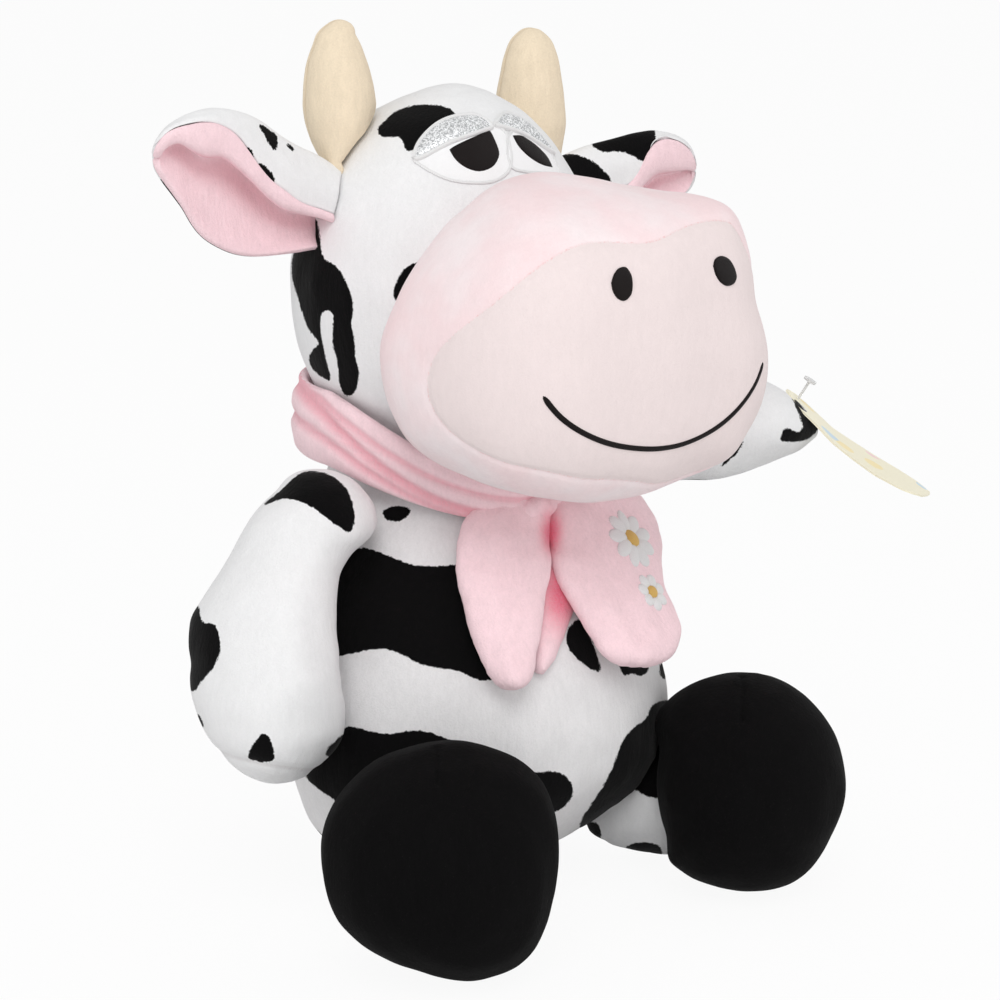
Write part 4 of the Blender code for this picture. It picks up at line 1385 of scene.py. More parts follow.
@dataclass
class Torso:
    """The stuffed body, with its spots and its seams.

    Attributes:
        middle_seam_from: How far back the middle seam starts, along Y.
        seat_height: How high the gathered cloth of the seat reaches.
        seat_middle: The place that it is gathered towards, along Y.
        seat_draw: How far it is drawn in at the floor, as a share.
        seat: The seat's outline in the photograph.
        spots: The dyed spots.
    """

    middle_seam_from: float = 0.0
    seat_height: float = 0.062
    seat_middle: float = -0.013
    seat_draw: float = 0.15
    seat: Ring = Ring((470, 690), (
        (668, 704), (664, 732), (655, 760), (638, 787), (610, 809), (577, 829), (558, 841), (530, 850),
        (500, 857),
    ), closed=False)
    spots: tuple[Spot, ...] = (
        Spot(Look.PHOTO, (
            (338, 556), (361, 546), (380, 552), (398, 560), (416, 566), (455, 566), (480, 560), (520, 572),
            (545, 590), (548, 640), (536, 672), (505, 672), (494, 680), (478, 681), (466, 674), (455, 670),
            (438, 668), (421, 665), (400, 653), (380, 647), (341, 656), (310, 660), (285, 640), (280, 600),
            (310, 570),
        ), 0.42),
        Spot(Look.PHOTO, (
            (300, 775), (318, 760), (330, 738), (347, 725), (362, 729), (387, 735), (405, 731), (423, 730),
            (455, 741), (500, 762), (528, 773), (560, 770), (574, 786), (571, 800), (556, 813), (536, 812),
            (500, 840), (420, 860), (360, 840), (336, 800), (322, 793),
        ), 0.35),
        Spot(Look.PHOTO, ((566, 630), (580, 615), (592, 640), (604, 674), (590, 669), (575, 658), (566, 645))),
        Spot(Look.PHOTO, (
            (653, 700), (646, 720), (633, 727), (622, 742), (614, 766), (600, 792), (572, 832), (606, 834),
            (650, 800), (690, 770), (690, 700),
        ), 0.60),
        Spot(
            Look.PHOTO,
            ((381, 512), (386, 508), (396, 505), (412, 508), (408, 517), (398, 522), (385, 520)),
            0.1,
        ),
        Spot(Look.PHOTO, (
            (619, 664), (623, 677), (632, 673), (640, 677), (649, 672), (652, 652), (648, 630), (634, 618),
            (622, 632), (617, 650),
        ), 0.1),
        Spot(
            Look.LEFT,
            ((-70, 96), (-44, 100), (-22, 104), (-2, 98), (2, 84), (-16, 76), (-40, 80), (-70, 84)),
            -0.78,
        ),
        Spot(Look.PHOTO, ((658, 664), (668, 662), (666, 680), (661, 678)), 0.3),
        Spot(Look.BACK, (
            (-14, 158), (12, 166), (44, 152), (58, 128), (40, 112), (22, 120), (4, 108), (-16, 116), (-24, 140),
        )),
        Spot(Look.BACK, ((-78, 92), (-50, 98), (-30, 84), (-34, 62), (-56, 50), (-84, 58)), 0.45),
        Spot(Look.BACK, ((10, 52), (38, 62), (66, 50), (74, 26), (50, 12), (22, 18), (6, 32)), 0.2),
        Spot(
            Look.LEFT,
            ((-30, 138), (-8, 150), (20, 140), (26, 116), (4, 104), (-10, 112), (-26, 108), (-40, 122)),
        ),
        Spot(
            Look.LEFT,
            ((-60, 60), (-14, 68), (12, 74), (34, 60), (28, 38), (4, 30), (-16, 40), (-60, 46)),
            -0.3,
        ),
    )

    def make(self) -> None:
        """Makes the body."""
        middle = SeamLine(middle_reach(self.middle_seam_from), 0.0010, 0.0022)
        form = StuffedForm(
            "stuffed_body", ("body_skin", "body_filling"), swell=0.0025, seams=[middle], spots=self.spots
        )
        made = form.grow()
        move_points(made, self.seat.fit(self.round_under(points_of(made))))
        form.sew(made)
        hand_over(made, "torso", SHADED_BODY_COAT, form.nodes)

    def round_under(self, points: Array) -> Array:
        """Draws the seat in towards the floor, as its gathered cloth does.

        Args:
            points: The body's points, one a row.

        Returns:
            The moved points.
        """
        low = np.clip(1.0 - points[:, 2] / self.seat_height, 0.0, 1.0) ** 1.5
        middle = np.array([0.0, self.seat_middle, 0.0])
        return points - (points - middle) * np.array([1.0, 1.0, 0.0]) * (self.seat_draw * low)[:, None]


@dataclass
class Arm:
    """A stuffed arm with a rounded panel sewn to its end.

    Attributes:
        side: The arm's side.
        spots: Its dyed spots.
        edges: Its edges in the photograph.
        panel_lower: How far past the end panel's solid its seam is sewn.
        shoulder: Where the left arm starts.
    """

    side: Side
    spots: tuple[Spot, ...]
    edges: tuple[Edges, ...]
    panel_lower: float = 0.0090
    shoulder: Place = (0.082, -0.014, 0.160)

    def make(self) -> None:
        """Makes the arm."""
        word = self.side.word
        end_low, end_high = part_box("arm_end_" + word)
        shoulder = Vector((self.shoulder[0] * self.side.value, *self.shoulder[1:]))
        end = (Vector(end_low) + Vector(end_high)) / 2.0
        way = (end - shoulder).normalized()
        at = shoulder + way * self.panel_seam_place(word, shoulder, way)
        panel = SeamLine(plane_reach(at + way * self.panel_lower, way), 0.0008, 0.0018)
        form = StuffedForm(
            "stuffed_arm_" + word,
            ("arm_skin_" + word, "arm_end_" + word, "arm_filling_" + word),
            voxel=0.0026,
            swell=0.0012,
            seams=[panel],
            spots=self.spots,
            edges=self.edges,
        )
        hand_over(form.make(), "arm_" + word, COAT, form.nodes)

    def panel_seam_place(self, word: str, shoulder: Vector, way: Vector) -> float:
        """Measures how far along the arm its end panel starts."""
        points = points_of(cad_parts["arm_end_" + word])
        return float(((points - np.array(shoulder)) @ np.array(way)).min())


@dataclass
class Leg:
    """A short stuffed leg that ends in a big round foot.

    Attributes:
        side: The leg's side.
        edges: The foot's edges in the photograph.
        top_seam: The ends of the short seam on top of the foot, in the photograph.
        spots: The leg's dyed spots.
        seat: The leg's lower edge in the photograph, where that shows.
        overlap: How far into the foot the leg goes on at its full width.
        shrink: How much narrower it is past that, as a share.
    """

    side: Side
    edges: Ring
    top_seam: tuple[Pixel, Pixel]
    spots: tuple[Spot, ...] = ()
    seat: Edges | None = None
    overlap: float = 0.004
    shrink: float = 0.22

    def make(self) -> None:
        """Makes the leg and its foot."""
        word = self.side.word
        filling = "leg_filling_" + word
        leg = StuffedForm("stuffed_leg_" + word, ("leg_skin_" + word, filling), 0.0028, spots=self.spots)
        shank = leg.grow()
        drawn = self.drawn_back(points_of(shank))
        move_points(shank, self.seat.fit(drawn) if self.seat else drawn)
        leg.sew(shank)
        hand_over(shank, "leg_" + word, COAT, leg.nodes)
        foot = StuffedForm(
            "stuffed_foot_" + word, ("foot_skin_" + word, filling), 0.0028, swell=0.0012, edges=(self.edges,)
        )
        form = foot.grow()
        skin = Skin(form)
        pixels = along_line(self.top_seam, np.linspace(0.0, 1.0, 16))
        line = [list(skin.at_pixel(pixel)[0]) for pixel in pixels]
        foot.seams = [SeamLine(line_reach(np.array(line)), 0.0011, 0.0016)]
        foot.sew(form)
        hand_over(form, "leg_" + word, FOOT_PLUSH, ("foot_skin_" + word,))

    def drawn_back(self, points: Array) -> Array:
        """Draws the part of the leg that fills the foot back inside it.

        Args:
            points: The leg's points, one a row.

        Returns:
            The moved points.
        """
        skin = points_of(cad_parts["leg_skin_" + self.side.word])
        foot = points_of(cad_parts["foot_skin_" + self.side.word])
        middle = (foot.min(axis=0) + foot.max(axis=0)) / 2.0
        way = middle - skin.mean(axis=0)
        way /= np.linalg.norm(way)
        past = (points - middle) @ way - ((skin - middle) @ way).max()
        hold = smooth_step(past, -self.overlap, self.overlap)[:, None]
        return points - (points - middle) * self.shrink * hold


@dataclass
class Tail:
    """The tail and the tuft on it.

    Attributes:
        strands: How many strands go round the tuft.
        strand_height: How far they stand out.
    """

    strands: float = 14.0
    strand_height: float = 0.0005

    def make(self) -> None:
        """Makes the tail and its tuft."""
        cord = StuffedForm("stuffed_tail", ("tail",), 0.0012, easing=4)
        tuft = StuffedForm("tail_tuft_pile", ("tail_tuft",), 0.0012, easing=3)
        hand_over(cord.make(), "tail", COAT, cord.nodes)
        made = tuft.make()
        points, normals = points_of(made), normals_of(made)
        strand = np.sin(np.arctan2(points[:, 0], points[:, 1] - points[:, 1].mean()) * self.strands)
        move_points(made, points + normals * (strand * self.strand_height)[:, None])
        hand_over(made, "tail", FOOT_PLUSH, tuft.nodes)


# The head and its face


@dataclass
class Head:
    """The egg-shaped head without its muzzle.

    Attributes:
        crown: The crown's upper edge in the photograph.
        spots: The dyed spots.
        back_seam_from: How far back the seam up the back starts, along Y.
    """

    crown: Edges = Edges((
        (383.0, 106.0, None), (400.0, 98.0, None), (418.0, 91.5, None), (452.0, 84.5, None),
        (475.0, 87.0, None), (495.0, 94.0, None),
    ), upright=True)
    spots: tuple[Spot, ...] = (
        Spot(Look.PHOTO, (
            (376, 130), (387, 118), (398, 110), (417, 104), (441, 105), (452, 109), (459, 118), (459, 140),
            (430, 156), (419, 146), (411, 152), (405, 150), (403, 139), (395, 136), (382, 138),
        )),
        Spot(Look.PHOTO, (
            (312, 215), (319, 224), (321, 258), (334, 264), (344, 277), (351, 294), (354, 311), (350, 325),
            (355, 337), (355, 359), (360, 371), (357, 391), (348, 398), (340, 389), (338, 369), (337, 357),
            (333, 347), (333, 332), (334, 314), (328, 309), (320, 315), (321, 332), (325, 354), (332, 382),
            (324, 379), (314, 372), (308, 362), (310, 352), (321, 343), (310, 332), (303, 316), (296, 294),
            (291, 277), (292, 255), (300, 235),
        )),
        Spot(
            Look.PHOTO,
            ((412, 262), (400, 274), (394, 286), (393, 298), (402, 308), (430, 306), (430, 262)),
            0.1,
        ),
        Spot(Look.BACK, ((-8, 312), (22, 322), (40, 300), (34, 270), (8, 262), (-6, 280), (-20, 290)), 0.2),
        Spot(Look.BACK, ((-58, 262), (-38, 268), (-22, 244), (-34, 218), (-60, 222)), 0.5),
        Spot(Look.LEFT, ((-22, 268), (4, 272), (18, 250), (12, 226), (-8, 214), (-16, 232), (-30, 240))),
        Spot(Look.LEFT, ((36, 300), (52, 290), (52, 270), (36, 268), (26, 284))),
    )
    back_seam_from: float = 0.015

    def make(self) -> Piece:
        """Makes the head.

        Returns:
            The stuffed head.
        """
        form = StuffedForm(
            "stuffed_head",
            ("head_skin", "head_filling"),
            voxel=0.0028,
            swell=0.0012,
            seams=[SeamLine(middle_reach(self.back_seam_from), 0.0008, 0.0020)],
            spots=self.spots,
            edges=(self.crown,),
        )
        return hand_over(form.make(), "head", COAT, form.nodes)


@dataclass
class Muzzle:
    """The big stuffed muzzle: a side band and a lighter front panel with a sewn rim.

    Attributes:
        middle: Its middle, which the panel's rim goes round.
        rim: Places in the photograph along the seen part of the rim.
        mirror_x: The plane in which the rim's unseen part mirrors the seen one.
        mirrored_from: How far past that plane the rim has to be to be mirrored.
        seen_to: How far to the left the seen rim counts.
        unseen_from: How far to the left the mirrored rim starts to count.
        edges: The outline in the photograph.
    """

    middle: Place = (0.0, -0.079, 0.2393)
    rim: tuple[Pixel, ...] = (
        (732, 221), (710, 220), (693, 223), (678, 230), (663, 239), (645, 244), (623, 243), (603, 240),
        (579, 244), (555, 256), (515, 289), (485, 314), (450, 337), (429, 353), (424, 388), (426, 406),
        (448, 436), (477, 452), (520, 463), (568, 475), (611, 480), (640, 481),
    )
    mirror_x: float = 0.002
    mirrored_from: float = -0.012
    seen_to: float = 0.052
    unseen_from: float = 0.060
    edges: tuple[Ring, ...] = (
        Ring((575, 335), (
            (382, 342), (383, 387), (388, 405), (398, 424), (407, 438), (421, 451), (440, 464), (462, 474),
            (488, 485), (516, 492), (548, 498), (580, 501), (608, 500), (635, 496), (658, 489), (680, 480),
            (703, 472), (721, 464), (735, 452), (744, 437), (755, 416), (762, 396), (766, 375), (767, 355),
            (762, 328), (754, 301), (751, 270), (745, 242), (741, 226), (737, 215), (731, 207), (723, 201),
            (710, 197), (694, 193), (672, 191), (653, 189), (620, 184), (585, 179), (565, 176), (544, 173),
            (518, 176), (494, 184), (478, 195), (464, 209), (449, 223), (436, 240), (424, 256), (413, 272),
            (404, 287), (397, 303), (389, 321),
        )),
    )

    def make(self) -> Piece:
        """Makes the muzzle.

        Returns:
            The stuffed muzzle.
        """
        form = StuffedForm(
            "stuffed_muzzle",
            ("muzzle_gusset", "muzzle_front", "muzzle_filling"),
            voxel=0.0026,
            swell=0.0015,
            easing=44,
            edges=self.edges,
        )
        grown = form.grow()
        angles, opening = self.rim_on(Skin(grown))
        side = self.panel_side(points_of(grown), angles, opening)
        form.seams = [SeamLine(lambda points: np.abs(self.panel_side(points, angles, opening)), 0.0006, 0.0017)]
        form.sew(grown)
        store(grown, "panel", side / MILLI)
        return hand_over(grown, "head", SnoutPlush(), form.nodes)

    def polar(self, points: Array) -> tuple[Array, Array]:
        """Gives points' directions round the way ahead and their openings from it.

        Args:
            points: Places on the muzzle, one a row.

        Returns:
            The directions and the openings, as angles.
        """
        offset = points - np.array(self.middle)
        round_about = np.arctan2(offset[:, 2], offset[:, 0])
        return round_about, np.arctan2(np.hypot(offset[:, 0], offset[:, 2]), -offset[:, 1])

    def rim_on(self, skin: Skin) -> tuple[Array, Array]:
        """Finds the rim on the grown muzzle and mirrors its unseen part from the seen one.

        Args:
            skin: The muzzle's skin.

        Returns:
            The rim's directions in rising order and its opening at each.
        """
        seen = np.array([list(skin.at_pixel(pixel)[0]) for pixel in self.rim])
        unseen = seen[seen[:, 0] < self.mirrored_from] * np.array([-1.0, 1.0, 1.0])
        unseen += np.array([2.0 * self.mirror_x, 0.0, 0.0])
        seen = seen[seen[:, 0] < self.seen_to]
        unseen = unseen[unseen[:, 0] > self.unseen_from]
        angles, opening = self.polar(np.concatenate([seen, unseen]))
        order = np.argsort(angles)
        angles, opening = angles[order], opening[order]
        spread = np.linspace(-math.pi, math.pi, 73)
        full = np.concatenate([angles - math.tau, angles, angles + math.tau])
        reach = np.interp(spread, full, np.tile(opening, 3))
        kernel = np.array([0.1, 0.2, 0.4, 0.2, 0.1])
        wrapped = np.concatenate([reach[-3:-1], reach, reach[1:3]])
        return spread, np.convolve(wrapped, kernel, "valid")

    def panel_side(self, points: Array, angles: Array, opening: Array) -> Array:
        """Measures how far inside the front panel points lie, in metres.

        Args:
            points: Places on the muzzle, one a row.
            angles: The rim's directions.
            opening: The rim's opening at each.

        Returns:
            A distance for each, below zero outside.
        """
        round_about, out = self.polar(points)
        reach = np.linalg.norm(points - np.array(self.middle), axis=1)
        return (np.interp(round_about, angles, opening) - out) * reach


@dataclass(frozen=True)
class SnoutPlush:
    """The muzzle's two pinks: a pale one on its side and a lighter one inside its rim.

    Attributes:
        name: The material's name.
        front: The front panel's colour.
        side: The side's even colour.
        warm_side: The side's colour where it is pinkest.
        light_side: The side's colour where it is palest.
        crease: The colour in the seam.
        sheen: How much light the pile's tips catch.
    """

    name: str = "muzzle_plush"
    front: Colour = (0.855, 0.745, 0.738)
    side: Colour = (0.93, 0.805, 0.815)
    warm_side: Colour = (0.93, 0.725, 0.74)
    light_side: Colour = (0.93, 0.85, 0.86)
    # crease: The colour along the seam: partly its stitches, partly painted shade in the crease that it draws in.
    crease: Colour = (0.84, 0.56, 0.56)
    sheen: float = 0.08

    def build(self) -> bpy.types.Material:
        """Makes the material.

        Returns:
            The material.
        """
        graph = Graph(self.name)
        where = graph.place()
        tuft = graph.unrest(where, 1300.0, 3.0, 0.65)
        nap = graph.unrest(graph.place((1.0, 1.0, 0.3)), 420.0, 2.0, 0.6)
        cloud = graph.unrest(where, 26.0, 3.0, 0.55)
        inside = graph.ease(graph.read("panel"), -0.6, 0.6)
        patchy = graph.blend(graph.ease(cloud, 0.32, 0.72), self.warm_side, self.light_side)
        colour = graph.blend(inside, graph.blend(0.8, self.side, patchy), self.front)
        # The seam line: speckled stitches, partly painted shade in the crease that the seam draws in.
        pulled = (1.0 - graph.ease(graph.read("seam"), 0.1, 0.9)) * (0.40 + (tuft - 0.5) * 3.0)
        colour = graph.blend(graph.ease(pulled, 0.0, 1.0), colour, self.crease)
        light = 1.0 + (nap - 0.5) * 0.07 + (tuft - 0.5) * 0.07
        normal = graph.bump(nap, 0.0004, 0.45)
        normal = graph.bump(tuft, 0.0003, 0.45, normal)
        return graph.plush(colour, light, self.sheen, normal)


@dataclass
class Applique:
    """A flat shape sewn or stitched on a form, drawn between two lines of the photograph.

    Attributes:
        name: The piece's name.
        lower: Its lower edge, left to right.
        upper: Its upper edge, left to right.
        thickness: How far it stands up.
        sunk: How far its underside lies in the pile.
        crown: How flat its top is: 1 is a round top, less a flatter one.
    """

    name: str
    lower: tuple[Pixel, ...]
    upper: tuple[Pixel, ...]
    thickness: float = 0.0009
    sunk: float = 0.0006
    crown: float = 0.6

    def outline(self) -> Array:
        """Gives the whole outline, once round, as pixels.

        Returns:
            The pixels, one a row.
        """
        shares = np.linspace(0.0, 1.0, 40)
        below, above = along_line(self.lower, shares), along_line(self.upper, shares)
        return np.concatenate([below, above[::-1][1:-1]])

    def lay(self, skin: Skin) -> Piece:
        """Lays the shape on a form.

        Args:
            skin: The form's skin.

        Returns:
            The piece.
        """

        def shape(ball: Array) -> Array:
            """Gives the laid places of a ball's points.

            Args:
                ball: Points on a ball of radius 1.

            Returns:
                Their places.
            """
            pixels, _, _ = between(ball, self.lower, self.upper)
            placed = np.empty((len(ball), 3))
            for index, (pixel, rise) in enumerate(zip(pixels, ball[:, 2])):
                place, normal = skin.at_pixel(pixel)
                lift = self.thickness * rise**self.crown if rise > 0.0 else -self.sunk * min(-rise * 3.0, 1.0)
                placed[index] = place + normal * lift
            return placed

        made = shaped_ball(self.name, 64, 24, shape)
        store(made, "along", points_of(made)[:, 0] / MILLI)
        return made


def stitched_line(
    name: str, places: Array, ways: Array, half_width: float, height: float, closed: bool = False
) -> Piece:
    """Makes a raised line of stitching along places on a form.

    Args:
        name: The piece's name.
        places: Places along it, one a row.
        ways: The way out of the form at each.
        half_width: Half its width.
        height: How far it stands up.
        closed: Whether it ends where it starts.

    Returns:
        The piece.
    """

    def shape(ball: Array) -> Array:
        """Gives the line's surface from a ball's, its poles at the line's ends.

        Args:
            ball: Points on a ball of radius 1.

        Returns:
            Their places.
        """
        shares = np.arcsin(np.clip(ball[:, 2], -1.0, 1.0)) / math.pi + 0.5
        spread = np.hypot(ball[:, 0], ball[:, 1])
        middle, out = along_line(places, shares), along_line(ways, shares)
        before, after = np.maximum(shares - 0.002, 0.0), np.minimum(shares + 0.002, 1.0)
        ahead = along_line(places, after) - along_line(places, before)
        ahead /= np.linalg.norm(ahead, axis=1, keepdims=True)
        out /= np.linalg.norm(out, axis=1, keepdims=True)
        beside = np.cross(ahead, out)
        taper = np.ones(len(ball)) if closed else np.clip(spread / 0.07, 0.0, 1.0) ** 0.4
        taper[spread < 1e-6] = 0.0
        turn = np.arctan2(ball[:, 1], ball[:, 0])
        across = (np.cos(turn) * half_width * taper)[:, None] * beside
        return middle + across + (np.sin(turn) * height * taper)[:, None] * out

    made = shaped_ball(name, 12, 160, shape)
    store(made, "along", points_of(made)[:, 0] / MILLI)
    return made


@dataclass
class Face:
    """The eyes, eyelids, nostrils and smile.

    Attributes:
        smile: Places along the smile in the photograph.
        whites: The whites of the eyes, the right one first.
        pupils: The pupils.
        lids: The eyelids.
        nostrils: The nostrils.
        smile_thread: Half the smile's width and its height.
        white_border: The same of the whites' borders.
        lid_border: The same of the eyelids' borders.
        border_lift: How far a border's middle lies above the pile.
    """

    smile: tuple[Pixel, ...] = (
        (543, 396), (551, 407), (560, 417), (570, 425), (589, 436), (610, 444), (632, 448), (655, 449),
        (680, 445), (700, 437), (719, 426), (735, 412), (748, 396), (757, 380), (763, 362),
    )
    whites: tuple[Applique, ...] = (
        Applique(
            "eye_white_patch_right",
            ((413, 160), (428, 170), (450, 180), (473, 183), (495, 181), (508, 172), (512, 160)),
            ((413, 160), (425, 148), (445, 135), (465, 127), (485, 124), (503, 130), (512, 160)),
            0.0005,
        ),
        Applique(
            "eye_white_patch_left",
            ((507, 156), (512, 168), (526, 172), (540, 173), (552, 174), (562, 177)),
            ((507, 156), (508, 136), (518, 127), (533, 136), (548, 150), (562, 177)),
            0.0005,
        ),
    )
    pupils: tuple[Applique, ...] = (
        Applique(
            "pupil_patch_right",
            ((449, 150), (455, 160), (465, 168), (480, 172), (493, 167), (499, 156), (491, 137)),
            ((449, 150), (455, 146), (465, 141), (476, 136), (484, 132), (489, 131), (491, 137)),
            0.0013,
        ),
        Applique(
            "pupil_patch_left",
            ((512, 136), (517, 146), (524, 154), (533, 161), (543, 166), (552, 168)),
            ((512, 136), (520, 136), (529, 141), (539, 149), (547, 158), (552, 168)),
            0.0013,
        ),
    )
    lids: tuple[Applique, ...] = (
        Applique(
            "eyelid_patch_right",
            ((414, 160), (422, 158), (435, 151), (451, 143), (473, 135), (493, 128)),
            ((414, 160), (417, 148), (426, 135), (441, 123), (460, 117), (478, 117), (493, 128)),
            0.0019,
        ),
        Applique(
            "eyelid_patch_left",
            ((494, 126), (513, 131), (526, 137), (540, 146), (554, 155)),
            ((494, 126), (502, 115), (515, 117), (527, 124), (540, 137), (554, 155)),
            0.0019,
        ),
    )
    nostrils: tuple[Applique, ...] = (
        Applique(
            "nostril_patch_right",
            ((611, 283), (613, 292), (618, 299), (624, 301), (630, 296), (632, 285)),
            ((611, 283), (614, 274), (619, 268), (625, 267), (630, 273), (632, 285)),
            0.0011,
        ),
        Applique(
            "nostril_patch_left",
            ((713, 266), (716, 276), (721, 283), (727, 286), (733, 284), (736, 277)),
            ((713, 266), (715, 259), (720, 256), (727, 258), (733, 266), (736, 277)),
            0.0011,
        ),
    )

    smile_thread: tuple[float, float] = (0.0011, 0.0007)
    white_border: tuple[float, float] = (0.0006, 0.0003)
    lid_border: tuple[float, float] = (0.0010, 0.0014)
    border_lift: float = 0.0004

    def make(self, head: Piece, muzzle: Piece) -> None:
        """Lays the face on the head and the muzzle.

        Args:
            head: The stuffed head.
            muzzle: The stuffed muzzle.
        """
        brow, snout = Skin(head), Skin(muzzle)
        for side, white, pupil, lid in zip(("right", "left"), self.whites, self.pupils, self.lids):
            hand_over(white.lay(brow), "head", EYE_WHITE, ("eye_white_" + side,))
            self.border("eye_white_edge_" + side, white, brow, *self.white_border)
            hand_over(pupil.lay(brow), "head", DARK_THREAD, ("pupil_" + side,))
            hand_over(lid.lay(brow), "head", Glitter(), ("eyelid_" + side,))
            self.border("eyelid_edge_" + side, lid, brow, *self.lid_border)
        for side, nostril in zip(("right", "left"), self.nostrils):
            hand_over(nostril.lay(snout), "head", DARK_THREAD, ("nostril_" + side,))
        places, ways = self.on_skin(along_line(self.smile, np.linspace(0, 1, 60)), snout)
        smile = stitched_line("smile_stitching", places, ways, *self.smile_thread)
        hand_over(smile, "head", DARK_THREAD, ("mouth",))

    def border(self, name: str, patch: Applique, brow: Skin, half_width: float, height: float) -> None:
        """Makes the satin border round a patch.

        Args:
            name: The border's name.
            patch: The patch that it goes round.
            brow: The head's skin.
            half_width: Half its width.
            height: How far it stands up.
        """
        ring = patch.outline()
        places, ways = self.on_skin(np.concatenate([ring, ring[:1]]), brow)
        made = stitched_line(name, places + ways * self.border_lift, ways, half_width, height, closed=True)
        hand_over(made, "head", WHITE_THREAD)

    def on_skin(self, pixels: Array, skin: Skin) -> tuple[Array, Array]:
        """Finds pixels of the photograph on a form, and the way out at each.

        Args:
            pixels: The pixels, one a row.
            skin: The form's skin.

        Returns:
            The places and the ways out, both eased along the line.
        """
        found = [skin.at_pixel(pixel) for pixel in pixels]
        places, ways = (np.array([list(pair[part]) for pair in found]) for part in (0, 1))
        for _ in range(3):
            places[1:-1] = places[1:-1] * 0.5 + (places[:-2] + places[2:]) * 0.25
            ways[1:-1] = ways[1:-1] * 0.5 + (ways[:-2] + ways[2:]) * 0.25
        return places, ways


@dataclass
class Horn:
    """A flat stuffed horn of two leaf-shaped halves.

    Attributes:
        side: The horn's side.
        edges: Its edges in the photograph.
        seam_way: The way out of the plane of the seam round it.
    """

    side: Side
    edges: tuple[Edges, ...] = ()
    seam_way: Place = (0.35, 1.0, 0.0)

    def make(self) -> None:
        """Makes the horn."""
        node = "horn_" + self.side.word
        low, high = (Vector(corner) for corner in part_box(node))
        middle = (low + high) / 2.0
        seam = SeamLine(plane_reach(middle, Vector(self.seam_way)), 0.0006, 0.0014)
        form = StuffedForm(
            "stuffed_" + node, (node,), 0.0013, easing=16, plump=0.0012, seams=[seam], edges=self.edges
        )
        hand_over(form.make(), "head", HORN_PLUSH, form.nodes)


BACK_ROWS = (
    (0, 1, 0.0, -0.4), (0, 1, 0.2, -1.1), (0, 1, 0.65, -1.15), (0, 1, 1.0, 0.1), (1, 2, 0.45, 1.4),
    (1, 2, 1.0, 1.6),
)
LINING_ROWS = (
    (0, 3, 0.0, 0.25), (0, 3, 0.5, -0.5), (0, 3, 1.04, -0.45), (3, 2, 0.04, 1.25), (3, 2, 0.5, 1.85),
    (3, 2, 1.0, 1.65),
)


